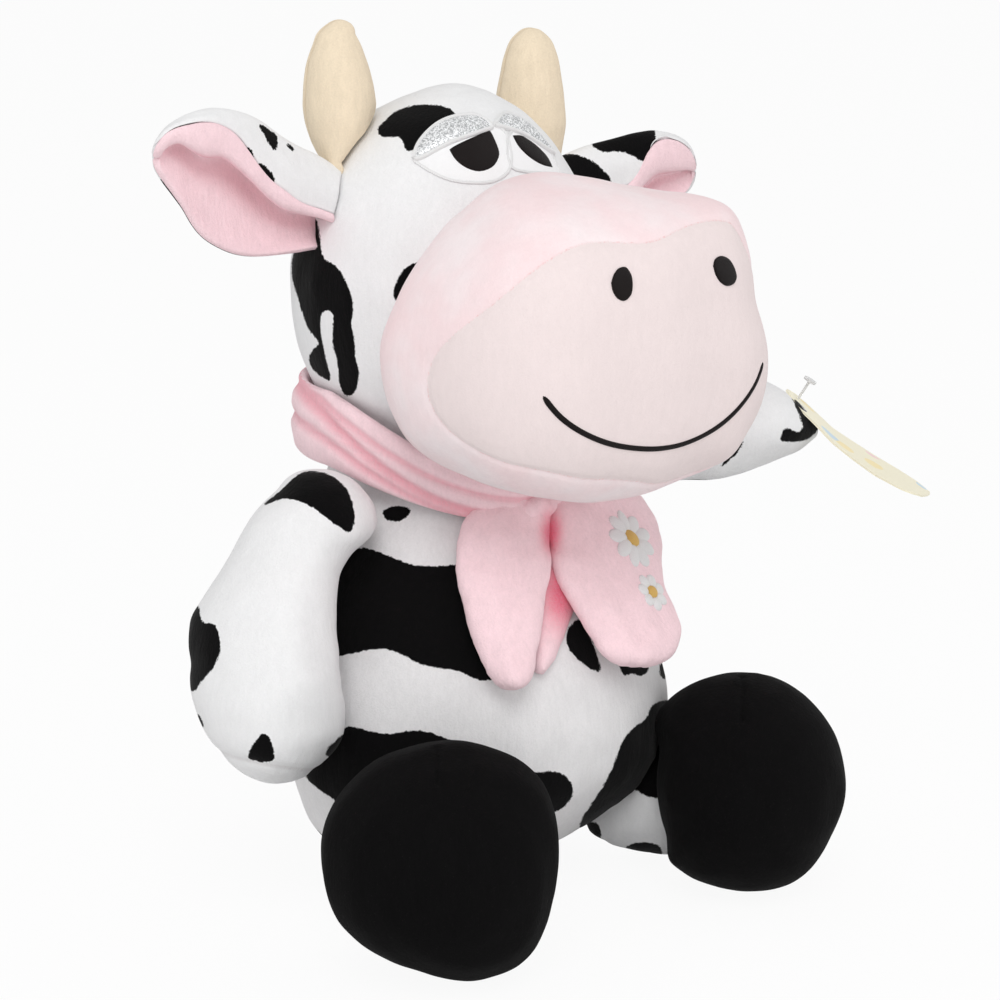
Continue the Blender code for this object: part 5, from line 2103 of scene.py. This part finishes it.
@dataclass
class Ear:
    """A doubled ear whose upper edge is rolled over to the front.

    Attributes:
        side: The ear's side.
        root: The middle of its root.
        lift: How far it points up, in degrees.
        lower: Its lower edge in the photograph, from the root to the tip.
        fold: Its upper edge, where it rolls over.
        hem: The line where the back's cloth meets the lining's on the roll.
        crease: The line where the roll lies on the lining.
        spots: The back's dyed spots.
        cup: How deep the ear is.
        roll: How far the roll stands ahead, at most.
        layer: The thickness of each cloth.
    """

    side: Side
    root: Place
    lift: float
    lower: tuple[Pixel, ...]
    fold: tuple[Pixel, ...]
    hem: tuple[Pixel, ...]
    crease: tuple[Pixel, ...]
    spots: tuple[Spot, ...]
    cup: float = 0.0055
    roll: float = 0.0085
    layer: float = 0.0024

    def make(self) -> None:
        """Makes the ear's back and its lining."""
        word = self.side.word
        back = self.layer_of("ear_shell_" + word, BACK_ROWS, (0.0, 0.25, 0.5, 0.66, 0.83, 1.0))
        store(back, "spot", dyed(self.spots, points_of(back), normals_of(back)))
        lining = self.layer_of("ear_inside_" + word, LINING_ROWS, (0.0, 0.3, 0.6, 0.7, 0.86, 1.0))
        hand_over(back, "ear_" + word, COAT, ("ear_back_" + word,))
        hand_over(lining, "ear_" + word, LINING, ("ear_lining_" + word,))

    def layer_of(self, name: str, rows: tuple[tuple[float, ...], ...], knots: tuple[float, ...]) -> Piece:
        """Makes one layer of cloth.

        Args:
            name: The layer's name.
            rows: For each row across it the two lines of the photograph that it lies between,
                the share of the way between them, and how far ahead it lies, in cups or rolls.
            knots: Where the rows lie across the layer, from 0 to 1.

        Returns:
            The layer.
        """
        deselect()
        bpy.ops.mesh.primitive_grid_add(x_subdivisions=56, y_subdivisions=40, size=2.0)
        made = newest(name)
        flat = (points_of(made)[:, :2] + 1.0) / 2.0
        read = [along_line(line, flat[:, 0]) for line in (self.lower, self.fold, self.hem, self.crease)]
        blunt = np.clip((1.0 - flat[:, 0]) / 0.25, 0.0, 1.0) ** 0.5
        values = []
        for first, second, share, ahead in rows:
            pixels = read[first] * (1.0 - share) + read[second] * share
            depth = ahead * (self.cup if ahead < 0.0 else self.roll * 0.6) * blunt
            values.append(np.concatenate([pixels, depth[:, None]], axis=1))
        spread = across_rows(np.array(values), np.array(knots), flat[:, 1])
        move_points(made, self.placed(spread))
        # Painted shade: a dark pink band along the lining's crease, kept as tint.
        deep = 0.65 * np.exp(-(((flat[:, 1] - 0.66) / 0.07) ** 2)) * blunt
        store(made, "tint", deep if rows[1][1] == 3 else 0.0)
        apply(made, "SMOOTH", factor=0.5, iterations=2)
        apply(made, "SOLIDIFY", thickness=self.layer, offset=0.0, use_even_offset=False)
        apply(made, "SUBSURF", levels=1, render_levels=1)
        points, normals = points_of(made), normals_of(made)
        move_points(made, points + normals * (ripple(points, 0.020, 3.0) * 0.0005)[:, None])
        close_up(LAYER_MERGE)
        return made

    def placed(self, spread: Array) -> Array:
        """Finds the places that show at pixels, each so far ahead of the ear's own plane.

        Args:
            spread: The pixels and the distances ahead, one a row.

        Returns:
            The places.
        """
        slope, sign = math.radians(self.lift), self.side.value
        along = np.array([sign * math.cos(slope), -0.06, math.sin(slope)])
        up = np.array([-sign * math.sin(slope), 0.0, math.cos(slope)])
        ahead = np.cross(up, along) * sign
        ahead = ahead / np.linalg.norm(ahead) * (1.0 if ahead[1] < 0.0 else -1.0)
        return SIGHT.on_plane(spread[:, :2], np.array(self.root), ahead, spread[:, 2])


# The scarf and the tag

PINCH = (551.0, 533.0)


def pinch_shade(points: Array, middle: Pixel = PINCH, spread: float = 5.0) -> Array:
    """Gives how deep the scarf's colour is near the place where its ends leave the knot.

    Args:
        points: Places on the scarf, one a row.
        middle: The pixel where the painted shade is darkest.
        spread: How far the painted shade reaches, in millimetres.

    Returns:
        A share of painted shade for each point.
    """
    apart = np.linalg.norm((SIGHT.flatten(points) - np.array(middle)) * np.array([1.0, 0.5]), axis=1)
    return 0.85 * np.exp(-((apart / Look.PHOTO.scale / spread) ** 2))


@dataclass
class Scarf:
    """The plush scarf: a folded band, its knot, two hanging ends and a small stitched flower.

    Attributes:
        inner: The radius of the neck inside it.
        thick: Its thickness, folded.
        centre_y: The neck's middle, along Y.
        top: The height of its upper edge behind, and how far that drops in front.
        bottom: The height of its lower edge behind, and how far that drops in front.
        front_power: How suddenly both edges drop towards the front.
        creases: The folds: their heights in front and behind as shares of the band's width,
            their depths and their widths.
    """

    inner: float = 0.0555
    thick: float = 0.0086
    centre_y: float = 0.009
    top: tuple[float, float] = (0.2125, 0.0330)
    bottom: tuple[float, float] = (0.1820, 0.0200)
    front_power: float = 1.5
    creases: tuple[tuple[float, float, float, float], ...] = (
        (0.16, 0.88, 0.0026, 0.09), (0.02, 0.50, 0.0018, 0.08), (0.52, 1.02, 0.0016, 0.07),
    )

    def make(self) -> None:
        """Makes the scarf."""
        knot = StuffedForm("tied_scarf_knot", ("scarf_knot",), 0.0013, easing=3)
        tied = knot.make()
        move_points(tied, self.tightened(points_of(tied)))
        # Painted shade where the ends leave the knot.
        store(tied, "tint", pinch_shade(points_of(tied)))
        hand_over(self.band(), "torso", SCARF_PLUSH, ("scarf_band",))
        hand_over(tied, "torso", SCARF_PLUSH, knot.nodes)
        right = Strap(
            "scarf_end_cloth_right",
            "scarf_tail_right",
            (
                (500, 492), (480, 500), (468, 516), (462, 538), (459, 560), (461, 580), (466, 600), (473, 628),
                (483, 655), (495, 675), (507, 685), (517, 687),
            ),
            (
                (540, 486), (549, 502), (551, 518), (552, 535), (552, 550), (551, 568), (548, 588), (545, 609),
                (541, 632), (537, 660), (529, 681), (517, 687),
            ),
            folds=((0.34, 0.0009, 0.05), (0.62, -0.0006, 0.06)),
        )
        left = Strap(
            "scarf_end_cloth_left",
            "scarf_tail_left",
            (
                (553, 480), (549, 498), (549, 515), (553, 540), (559, 560), (569, 584), (583, 608), (597, 633),
                (609, 651), (624, 662), (640, 666),
            ),
            (
                (574, 477), (612, 481), (640, 491), (653, 508), (660, 526), (665, 546), (664, 568), (668, 588),
                (677, 606), (684, 630), (673, 655), (640, 666),
            ),
            folds=((0.22, 0.0010, 0.06), (0.70, -0.0008, 0.07)),
        )
        under = Strap(
            "scarf_end_under_right",
            "scarf_tail_right",
            ((520, 520), (524, 550), (527, 580), (529, 610), (531, 640), (534, 664), (541, 677)),
            ((554, 530), (565, 560), (573, 585), (575, 606), (568, 630), (558, 653), (541, 677)),
            folds=(),
            set_back=0.0075,
            half_thick=0.0024,
            pinch=(562.0, 590.0),
            spread=9.5,
        )
        hand_over(under.make(), "scarf_end_right", SCARF_PLUSH, ())
        hand_over(right.make(), "scarf_end_right", SCARF_PLUSH, (right.node,))
        cloth = Skin(hand_over(left.make(), "scarf_end_left", SCARF_PLUSH, (left.node,)))
        Flower("stitched_daisy", (632, 538), 9, 0.0100, 0.0033, 0.0040, ("scarf_motif",)).make(cloth)
        Flower("stitched_small_daisy", (652, 592), 7, 0.0062, 0.0027, 0.0028).make(cloth)

    def tightened(self, points: Array) -> Array:
        """Flattens the knot under the chin and gathers it in upright folds.

        Args:
            points: The knot's points, one a row.

        Returns:
            The moved points.
        """
        middle = (points.min(axis=0) + points.max(axis=0)) / 2.0
        offset = points - middle
        gather = 1.0 + 0.22 * np.sin(offset[:, 0] / 0.0016) * (offset[:, 1] < 0.0)
        shaped = offset * np.array([0.84, 0.62, 0.58])
        shaped[:, 1] *= gather
        return middle + shaped + np.array([-0.001, 0.0062, 0.0052])

    def band(self) -> Piece:
        """Makes the band round the neck.

        Returns:
            The band.
        """
        deselect()
        bpy.ops.mesh.primitive_torus_add(major_segments=200, minor_segments=64, major_radius=1.0, minor_radius=0.3)
        made = newest("tied_scarf_band")
        ring = points_of(made)
        turn = np.arctan2(ring[:, 0], -ring[:, 1])
        tilt = np.arctan2(ring[:, 2], np.hypot(ring[:, 0], ring[:, 1]) - 1.0)
        front = np.maximum(np.cos(turn), 0.0) ** self.front_power
        top = self.top[0] - self.top[1] * front
        bottom = self.bottom[0] - self.bottom[1] * front
        rise = 0.5 + 0.5 * np.sign(np.sin(tilt)) * np.abs(np.sin(tilt)) ** 0.8
        outer = np.sign(np.cos(tilt)) * np.abs(np.cos(tilt)) ** 0.7
        bulge = np.zeros(len(ring))
        behind = smooth_step(np.abs(turn), 0.25, 2.2)
        for ahead, back, depth, width in self.creases:
            wander = ahead + (back - ahead) * behind + 0.03 * np.sin(turn * 3.0 + ahead * 5.0)
            bulge -= depth * np.exp(-(((rise - wander) / width) ** 2))
        unrest = ripple(ring * 0.06, 0.03, 5.0) * 0.0009 + ripple(ring * 0.06, 0.012, 2.0) * 0.0003
        radius = self.inner + self.thick * (0.5 + 0.5 * outer) + (bulge + unrest) * np.maximum(outer, 0.0)
        height = bottom + (top - bottom) * rise
        places = np.stack([np.sin(turn) * radius, self.centre_y - np.cos(turn) * radius, height], axis=1)
        move_points(made, places)
        # Painted shade: darker pink in the band's folds and where the ends leave the knot, kept as tint.
        deep = np.where(outer > 0.0, 0.55 * (1.0 - np.exp(bulge / 0.0012)), 0.0)
        store(made, "tint", np.maximum(deep, pinch_shade(places)))
        close_up()
        return made


@dataclass
class Strap:
    """A hanging end of the scarf, drawn between two edges of the photograph.

    Attributes:
        name: The piece's name.
        node: The solid in whose middle plane it hangs.
        left_edge: Its left edge in the photograph, from the knot to the tip.
        right_edge: Its right edge.
        folds: Soft folds along it: the place across, the height and the width as a share.
        set_back: How far behind that plane it hangs.
        half_thick: Half its thickness.
        curl: How far its edges bend back, in millimetres.
        pinch: The pixel where its painted shade is darkest.
        spread: How far the painted shade reaches, in millimetres.
    """

    name: str
    node: str
    left_edge: tuple[Pixel, ...]
    right_edge: tuple[Pixel, ...]
    folds: tuple[Place, ...]
    set_back: float = 0.0
    half_thick: float = 0.0042
    curl: float = 9.0
    pinch: Pixel = PINCH
    spread: float = 5.0

    def plane(self) -> tuple[Array, Array]:
        """Finds the solid's middle plane.

        Returns:
            Its middle and the way out of it, ahead.
        """
        points = points_of(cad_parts[self.node])
        middle = points.mean(axis=0)
        normal = np.linalg.svd(points - middle, full_matrices=False)[2][2]
        return middle, normal if normal[1] < 0.0 else -normal

    def make(self) -> Piece:
        """Makes the hanging end.

        Returns:
            The cloth.
        """
        middle, normal = self.plane()
        middle = middle - normal * self.set_back

        def shape(ball: Array) -> Array:
            """Gives the cloth's places from a ball's points.

            Args:
                ball: Points on a ball of radius 1.

            Returns:
                Their places.
            """
            pixels, shares, side = between(ball, self.left_edge, self.right_edge)
            across = (side + 1.0) / 2.0
            flat = SIGHT.on_plane(pixels, middle, normal)
            wrap = -self.curl * MILLI * (side**2) * 0.35
            ridge = np.zeros(len(ball))
            for place, height, width in self.folds:
                ridge += height * np.exp(-(((across - place) / width) ** 2))
            ridge += 0.0008 * np.sin(across * 24.0) * np.exp(-shares * 6.0)
            thick = np.sign(ball[:, 2]) * np.abs(ball[:, 2]) ** 0.45 * self.half_thick
            return flat + normal * (wrap + thick + ridge * (ball[:, 2] > 0.0))[:, None]

        made = shaped_ball(self.name, 96, 40, shape)
        apply(made, "REMESH", mode="VOXEL", voxel_size=0.0015)
        apply(made, "SMOOTH", factor=0.5, iterations=6)
        apply(made, "SUBSURF", levels=1, render_levels=1)
        points, normals = points_of(made), normals_of(made)
        soft = ripple(points, 0.024, 7.0) * 0.0009 + ripple(points, 0.009, 4.0) * 0.0003
        move_points(made, points + normals * (soft + 0.0006)[:, None])
        # Painted shade round the pinch, between and under the hanging ends.
        store(made, "tint", pinch_shade(points, self.pinch, self.spread))
        bpy.ops.object.shade_smooth()
        return made


@dataclass
class Flower:
    """A small stitched daisy, put where the scarf's end carries its embroidery.

    Attributes:
        name: The start of its pieces' names.
        middle: Its middle in the photograph.
        petals: How many petals it has.
        petal_length: Their length.
        petal_half_width: Half their width.
        eye_radius: The radius of its eye.
        nodes: The solids that its petals stand for.
    """

    name: str
    middle: Pixel
    petals: int
    petal_length: float
    petal_half_width: float
    eye_radius: float
    nodes: tuple[str, ...] = ()

    def make(self, cloth: Skin) -> None:
        """Stitches the flower on the cloth, its petals as one piece.

        Args:
            cloth: The scarf's hanging end.
        """
        place, out = cloth.at_pixel(self.middle)
        right = Vector((1.0, 0.0, 0.0))
        right = (right - out * right.dot(out)).normalized()
        up = out.cross(right)

        def lay(flat: Array, rise: Array, height: float) -> Array:
            """Lays flat places on the cloth, the upper ones raised to a height.

            Args:
                flat: Places across and up from the flower's middle.
                rise: How far each is raised, as a share.
                height: The height of the highest.

            Returns:
                The places on the cloth.
            """
            lift = np.where(rise > 0.0, rise * height, -0.0004)
            placed = np.empty((len(flat), 3))
            for index, (across, ahead) in enumerate(flat):
                spot, way = cloth.under(place + right * across + up * ahead + out * 0.02, -out)
                placed[index] = spot + way * lift[index]
            return placed

        def eye(ball: Array) -> Array:
            """Gives the flower's eye from a ball's points."""
            return lay(ball[:, :2] * self.eye_radius, ball[:, 2], 0.0016)

        parts = []
        for index in range(self.petals):
            angle = math.tau * index / self.petals + 0.2
            turned = np.array([[math.cos(angle), math.sin(angle)], [-math.sin(angle), math.cos(angle)]])

            def petal(ball: Array, turned: Array = turned) -> Array:
                """Gives a petal's places from a ball's points.

                Args:
                    ball: Points on a ball of radius 1.
                    turned: The petal's turn.

                Returns:
                    Their places.
                """
                run = self.eye_radius * 0.8 + (ball[:, 0] + 1.0) / 2.0 * self.petal_length
                side = ball[:, 1] * self.petal_half_width
                return lay(np.stack([run, side], axis=1) @ turned, ball[:, 2], 0.0011)

            parts.append(shaped_ball("petal", 20, 10, petal))
        petals = join(parts, self.name + "_petals")
        middle = shaped_ball(self.name + "_eye", 28, 12, eye)
        for piece in (petals, middle):
            store(piece, "along", points_of(piece)[:, 0] / MILLI)
        hand_over(petals, "scarf_end_left", WHITE_THREAD, self.nodes)
        hand_over(middle, "scarf_end_left", GOLD_THREAD)


@dataclass
class SwingTag:
    """The card that hangs on the left hand, and its plastic pin.

    Attributes:
        corner: The radius of its corners.
        thick: Its thickness.
        edges: Its edges in the photograph.
    """

    corner: float = 0.012
    thick: float = 0.0008
    edges: Edges = Edges((
        (786, 388, 394), (800, 398, 411), (815, 411, 426), (832, 427, 444), (852, 440, 461), (875, 454, 478),
        (900, 469, 491), (918, 481, 496), (928, 489, 497),
    ), upright=True)

    def make(self) -> None:
        """Makes the card and dresses the pin."""
        points = points_of(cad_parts["hang_tag"])
        start = (points.min(axis=0) + points.max(axis=0)) / 2.0
        frame = np.linalg.svd(points - start, full_matrices=False)[2]
        along, across = frame[0], frame[1]
        spans = (points - start) @ np.stack([along, across]).T
        half = (spans.max(axis=0) - spans.min(axis=0)) / 2.0
        middle = start + (spans.max(axis=0) + spans.min(axis=0)) / 2.0 @ np.stack([along, across])
        deselect()
        bpy.ops.mesh.primitive_grid_add(x_subdivisions=60, y_subdivisions=30, size=2.0)
        card = newest("swing_tag_card")
        flat = points_of(card)[:, :2] * half
        inner = half - self.corner
        over = np.abs(flat) - inner
        both = (over > 0.0).all(axis=1)
        longest = over.max(axis=1)
        shrink = np.where(both, longest / np.maximum(np.hypot(over[:, 0], over[:, 1]), 1e-9), 1.0)
        flat = np.where(both[:, None], np.sign(flat) * (inner + over * shrink[:, None]), flat)
        move_points(card, self.edges.fit(middle + flat @ np.stack([along, across])))
        apply(card, "SMOOTH", factor=0.5, iterations=4)
        edge = np.minimum(half[0] - np.abs(flat[:, 0]), half[1] - np.abs(flat[:, 1]))
        store(card, "margin", edge / MILLI)
        apply(card, "SOLIDIFY", thickness=self.thick, offset=0.0)
        bpy.ops.object.shade_smooth_by_angle(angle=math.radians(40.0))
        Wardrobe.dress(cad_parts["tag_pin"], ClearPlastic())
        hand_over(card, "tag", PrintedCard(), ("hang_tag",))


# The studio


@dataclass
class Studio:
    """A plain pale floor, soft lamps and a white backdrop.

    Attributes:
        floor_size: The side of the square floor.
        sky: How strongly the white world lights the cow.
        far_white: How bright the world itself shows, where 1 is white.
        floor_glow: How much of the floor shows as plain white, past its shadows.
        lamps: For each lamp its name, its place, the side of its square and its power in watts.
        aim: The place that the lamps look at.
    """

    floor_size: float = 12.0
    sky: float = 0.60
    far_white: float = 0.97
    floor_glow: float = 0.93
    lamps: tuple[tuple[str, Place, float, float], ...] = (
        ("key_lamp", (-1.2, -1.6, 2.2), 1.4, 28.0),
        ("side_lamp", (-2.3, -0.5, 0.7), 1.8, 5.0),
        ("front_lamp", (1.1, -2.0, 0.6), 1.8, 8.0),
    )
    aim: Place = (0.0, 0.0, 0.17)

    def make(self) -> None:
        """Sets up the floor, the lamps, the world and the camera."""
        deselect()
        bpy.ops.mesh.primitive_plane_add(size=self.floor_size)
        floor = newest("floor")
        floor.data.materials.append(self.floor_material())
        for name, place, size, power in self.lamps:
            self.lamp(name, place, size, power)
        bpy.context.scene.world = self.world()
        SIGHT.camera()
        bpy.context.scene.view_settings.view_transform = "Standard"

    def lamp(self, name: str, place: Place, size: float, power: float) -> None:
        """Adds a soft lamp that looks at the cow.

        Args:
            name: The lamp's name.
            place: Where it stands.
            size: The side of its square.
            power: Its power, in watts.
        """
        light = bpy.data.lights.new(name, "AREA")
        light.size, light.energy = size, power
        made = bpy.data.objects.new(name, light)
        bpy.context.scene.collection.objects.link(made)
        made.location = place
        made.rotation_mode = "QUATERNION"
        made.rotation_quaternion = (Vector(self.aim) - Vector(place)).to_track_quat("-Z", "Y")

    def seen_white(self, graph: Graph) -> Expression:
        """Gives 1 where the camera, a reflection or clear plastic sees the studio itself.

        Args:
            graph: The nodes that it is for.

        Returns:
            The share.
        """
        path = graph.node("ShaderNodeLightPath")
        seen = [Expression(graph, path.outputs[f"Is {kind} Ray"]) for kind in ("Camera", "Glossy", "Transmission")]
        return graph.sum_up("MINIMUM", seen[0] + seen[1] + seen[2], 1.0)

    def floor_material(self) -> bpy.types.Material:
        """Makes the floor's pale paper, which keeps the shadow.

        Returns:
            The material.
        """
        graph = Graph("pale_floor")
        tone = graph.shade((0.90, 0.90, 0.90), 0.995 + graph.unrest(graph.place(), 300.0) * 0.01)
        paper = graph.node("ShaderNodeBsdfDiffuse", values={"Color": tone})
        glow = graph.node("ShaderNodeEmission", values={"Color": (1.0, 1.0, 1.0), "Strength": 1.0})
        values = {0: self.seen_white(graph) * self.floor_glow, 1: paper.outputs[0], 2: glow.outputs[0]}
        return graph.end_in(graph.node("ShaderNodeMixShader", values=values))

    def world(self) -> bpy.types.World:
        """Makes the white world, which shows brighter than it lights.

        Returns:
            The world.
        """
        graph = Graph("studio", world=True)
        values = {"Value": self.seen_white(graph), "To Min": self.sky, "To Max": self.far_white}
        strength = graph.node("ShaderNodeMapRange", values=values).outputs[0]
        values = {"Color": (1.0, 1.0, 1.0), "Strength": strength}
        return graph.end_in(graph.node("ShaderNodeBackground", values=values))


RIGHT_ARM_SPOTS = (
    Spot(Look.PHOTO, (
        (262, 507), (270, 499), (284, 487), (299, 471), (318, 470), (334, 476), (346, 486), (351, 497),
        (355, 512), (354, 526), (349, 534), (337, 526), (327, 518), (309, 505), (296, 500), (283, 498),
        (274, 502),
    ), 0.35),
    Spot(Look.PHOTO, (
        (180, 610), (192, 612), (199, 602), (201, 624), (212, 622), (218, 630), (221, 645), (218, 662),
        (208, 674), (199, 684), (195, 692), (180, 690),
    ), 0.40),
    Spot(Look.PHOTO, ((262, 732), (270, 737), (274, 750), (274, 762), (260, 764), (246, 760), (252, 745)), 0.1),
    Spot(Look.PHOTO, ((196, 712), (200, 716), (205, 727), (200, 728)), 0.3),
    Spot(Look.PHOTO, ((346, 732), (336, 740), (326, 750), (326, 758), (340, 757), (352, 745)), 0.4),
    Spot(Look.BACK, ((92, 150), (112, 142), (118, 118), (104, 104), (90, 118)), 0.2),
)
LEFT_ARM_SPOTS = (
    Spot(Look.PHOTO, (
        (789, 392), (796, 398), (806, 412), (820, 424), (816, 434), (806, 441), (792, 442), (779, 441),
        (781, 433), (785, 427), (792, 430), (799, 433), (803, 427), (801, 420), (796, 408),
    ), 0.45),
    Spot(Look.PHOTO, ((744, 438), (742, 447), (736, 456), (718, 470), (728, 456), (738, 446)), 0.2),
    Spot(Look.BACK, ((-118, 178), (-98, 182), (-92, 162), (-108, 150), (-124, 160)), 0.3),
)
NEAR_EAR_SPOTS = (
    Spot(
        Look.PHOTO,
        ((148, 168), (168, 186), (198, 224), (230, 248), (262, 254), (262, 266), (190, 256), (148, 200)),
        1.1,
    ),
    Spot(Look.PHOTO, ((257, 123), (268, 128), (279, 137), (276, 152), (270, 146), (264, 134)), 0.3),
    Spot(Look.PHOTO, ((286, 142), (295, 148), (294, 152), (287, 147)), 0.3),
    Spot(Look.PHOTO, ((245, 146), (250, 148), (255, 156), (252, 160), (247, 154)), 0.3),
    Spot(Look.PHOTO, ((256, 162), (266, 165), (276, 178), (272, 186), (262, 178)), 0.6),
    Spot(Look.BACK, ((72, 256), (88, 253), (106, 259), (104, 268), (88, 271), (74, 266)), -0.2),
)
FAR_EAR_SPOTS = (
    Spot(Look.PHOTO, (
        (588, 142), (600, 134), (615, 128), (636, 122), (653, 122), (657, 140), (651, 153), (643, 163),
        (634, 156), (620, 151), (601, 153),
    ), 0.5),
    Spot(Look.PHOTO, ((548, 158), (568, 153), (589, 158), (603, 169), (615, 184), (590, 198), (548, 196)), 0.3),
    Spot(Look.BACK, ((-80, 310), (-78, 282), (-88, 276), (-96, 281), (-100, 290), (-100, 310)), 0.2),
)
FAR_LEG_SPOTS = (
    Spot(Look.PHOTO, ((575, 828), (590, 820), (602, 826), (600, 846), (585, 842)), 0.3),
    Spot(Look.PHOTO, ((622, 850), (632, 843), (648, 842), (662, 846), (662, 862), (630, 862)), 0.3),
    Spot(Look.PHOTO, (
        (600, 740), (640, 690), (690, 690), (690, 790), (652, 801), (630, 785), (604, 806), (585, 822),
        (580, 800),
    ), 0.6),
)
FAR_LEG_SEAT = Edges(
    ((590.0, None, 836.0), (605.0, None, 843.0), (625.0, None, 849.0), (650.0, None, 853.0)),
    upright=True,
)
RIGHT_ARM_EDGES = (
    Edges((
        (490, 278, None), (505, 263, None), (525, 248, 376), (539, 239, 369), (550, 233, 354), (571, 221, 340),
        (604, 200, 335), (617, 191, 335), (650, 190, 337), (683, 192, 339),
    )),
    Ring((272, 690), (
        (191, 672), (192, 688), (197, 707), (203, 725), (213, 742), (226, 757), (247, 774), (270, 782),
        (301, 777), (324, 761), (338, 748), (345, 733), (344, 712), (340, 690), (338, 672),
    ), closed=False),
)
LEFT_ARM_EDGES = (
    Edges((
        (625, None, 478), (656, None, 481), (680, None, 481), (706, None, 480), (720, None, 478),
        (744, None, 472), (760, None, 465), (780, None, 457), (800, None, 450), (812, None, 440),
    ), upright=True),
)
NEAR_FOOT_RING = Ring((440, 860), (
    (323, 840), (324, 875), (329, 899), (340, 922), (359, 941), (385, 957), (418, 969), (445, 977), (470, 980),
    (495, 975), (518, 966), (532, 952), (541, 934), (550, 905), (556, 875), (557, 840), (554, 815), (547, 793),
    (537, 776), (523, 763), (500, 752), (476, 745), (455, 742), (435, 743), (410, 748), (388, 755), (366, 769),
    (347, 787), (336, 801), (329, 816),
))
FAR_FOOT_RING = Ring((740, 782), (
    (741, 673), (720, 675), (700, 681), (680, 692), (665, 705), (651, 725), (641, 746), (635, 770), (636, 795),
    (640, 817), (647, 837), (659, 852), (676, 866), (694, 878), (724, 887), (747, 890), (771, 888), (788, 884),
    (806, 872), (818, 858), (829, 837), (838, 816), (843, 796), (844, 781), (842, 764), (838, 746), (829, 727),
    (818, 711), (800, 693), (782, 682), (762, 675),
))
NEAR_HORN_EDGES = (
    Edges((
        (35, 318, 354), (45, 315, 359), (56, 311, 363), (68, 308, 367), (85, 306, 371), (105, 305, 374),
        (124, 308, 367), (140, 313, 356), (152, 319, 347), (163, 326, 338),
    ), fade=8.0),
)
NEAR_EAR = Ear(
    Side.RIGHT,
    (-0.0600, 0.012, 0.2850),
    18.0,
    lower=(
        (334, 248), (312, 249), (295, 252), (276, 255), (251, 256), (232, 253), (218, 247), (203, 237),
        (193, 225), (184, 209), (174, 194), (163, 178), (157, 167), (156, 158),
    ),
    fold=(
        (342, 172), (331, 166), (317, 157), (294, 146), (278, 137), (259, 124), (247, 118), (232, 114),
        (213, 113), (198, 116), (181, 122), (167, 131), (158, 144), (155, 155),
    ),
    hem=(
        (334, 216), (318, 210), (304, 206), (295, 201), (283, 191), (271, 182), (259, 168), (247, 150),
        (232, 132), (213, 123), (188, 124), (168, 132), (158, 145), (154, 156),
    ),
    crease=(
        (336, 222), (320, 216), (298, 211), (285, 208), (271, 198), (254, 181), (237, 166), (222, 156),
        (205, 156), (192, 149), (180, 141), (168, 143), (160, 150), (156, 157),
    ),
    spots=NEAR_EAR_SPOTS,
)
FAR_EAR = Ear(
    Side.LEFT,
    (0.0630, 0.012, 0.2770),
    8.0,
    lower=((552, 214), (590, 213), (620, 209), (650, 204), (675, 198), (688, 190), (693, 180), (694, 171)),
    fold=(
        (552, 163), (575, 152), (592, 146), (615, 140), (640, 134), (652, 133), (665, 136), (677, 140),
        (687, 147), (692, 157), (694, 168),
    ),
    hem=(
        (552, 190), (590, 193), (618, 191), (632, 182), (642, 167), (648, 152), (654, 142), (665, 138),
        (678, 141), (687, 148), (693, 158), (695, 169),
    ),
    crease=(
        (552, 202), (600, 203), (632, 197), (644, 183), (655, 174), (668, 171), (680, 169), (688, 168),
        (694, 170),
    ),
    spots=FAR_EAR_SPOTS,
)


def main() -> None:
    """Makes the cow in its order of assembly, then the studio."""
    logging.basicConfig(level=logging.INFO, format="%(name)s %(message)s")
    for name in LEFTOVERS:
        if name in bpy.data.objects:
            bpy.data.objects.remove(bpy.data.objects[name])
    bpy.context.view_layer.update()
    Torso().make()
    head = Head().make()
    muzzle = Muzzle().make()
    Face().make(head, muzzle)
    Horn(Side.RIGHT, NEAR_HORN_EDGES).make()
    Horn(Side.LEFT).make()
    NEAR_EAR.make()
    FAR_EAR.make()
    Arm(Side.RIGHT, RIGHT_ARM_SPOTS, RIGHT_ARM_EDGES).make()
    Arm(Side.LEFT, LEFT_ARM_SPOTS, LEFT_ARM_EDGES).make()
    Leg(Side.RIGHT, NEAR_FOOT_RING, ((437.0, 747.0), (437.0, 782.0))).make()
    Leg(Side.LEFT, FAR_FOOT_RING, ((743.0, 677.0), (742.0, 719.0)), FAR_LEG_SPOTS, FAR_LEG_SEAT).make()
    Scarf().make()
    SwingTag().make()
    Tail().make()
    Studio().make()


if __name__ == "__main__":
    main()
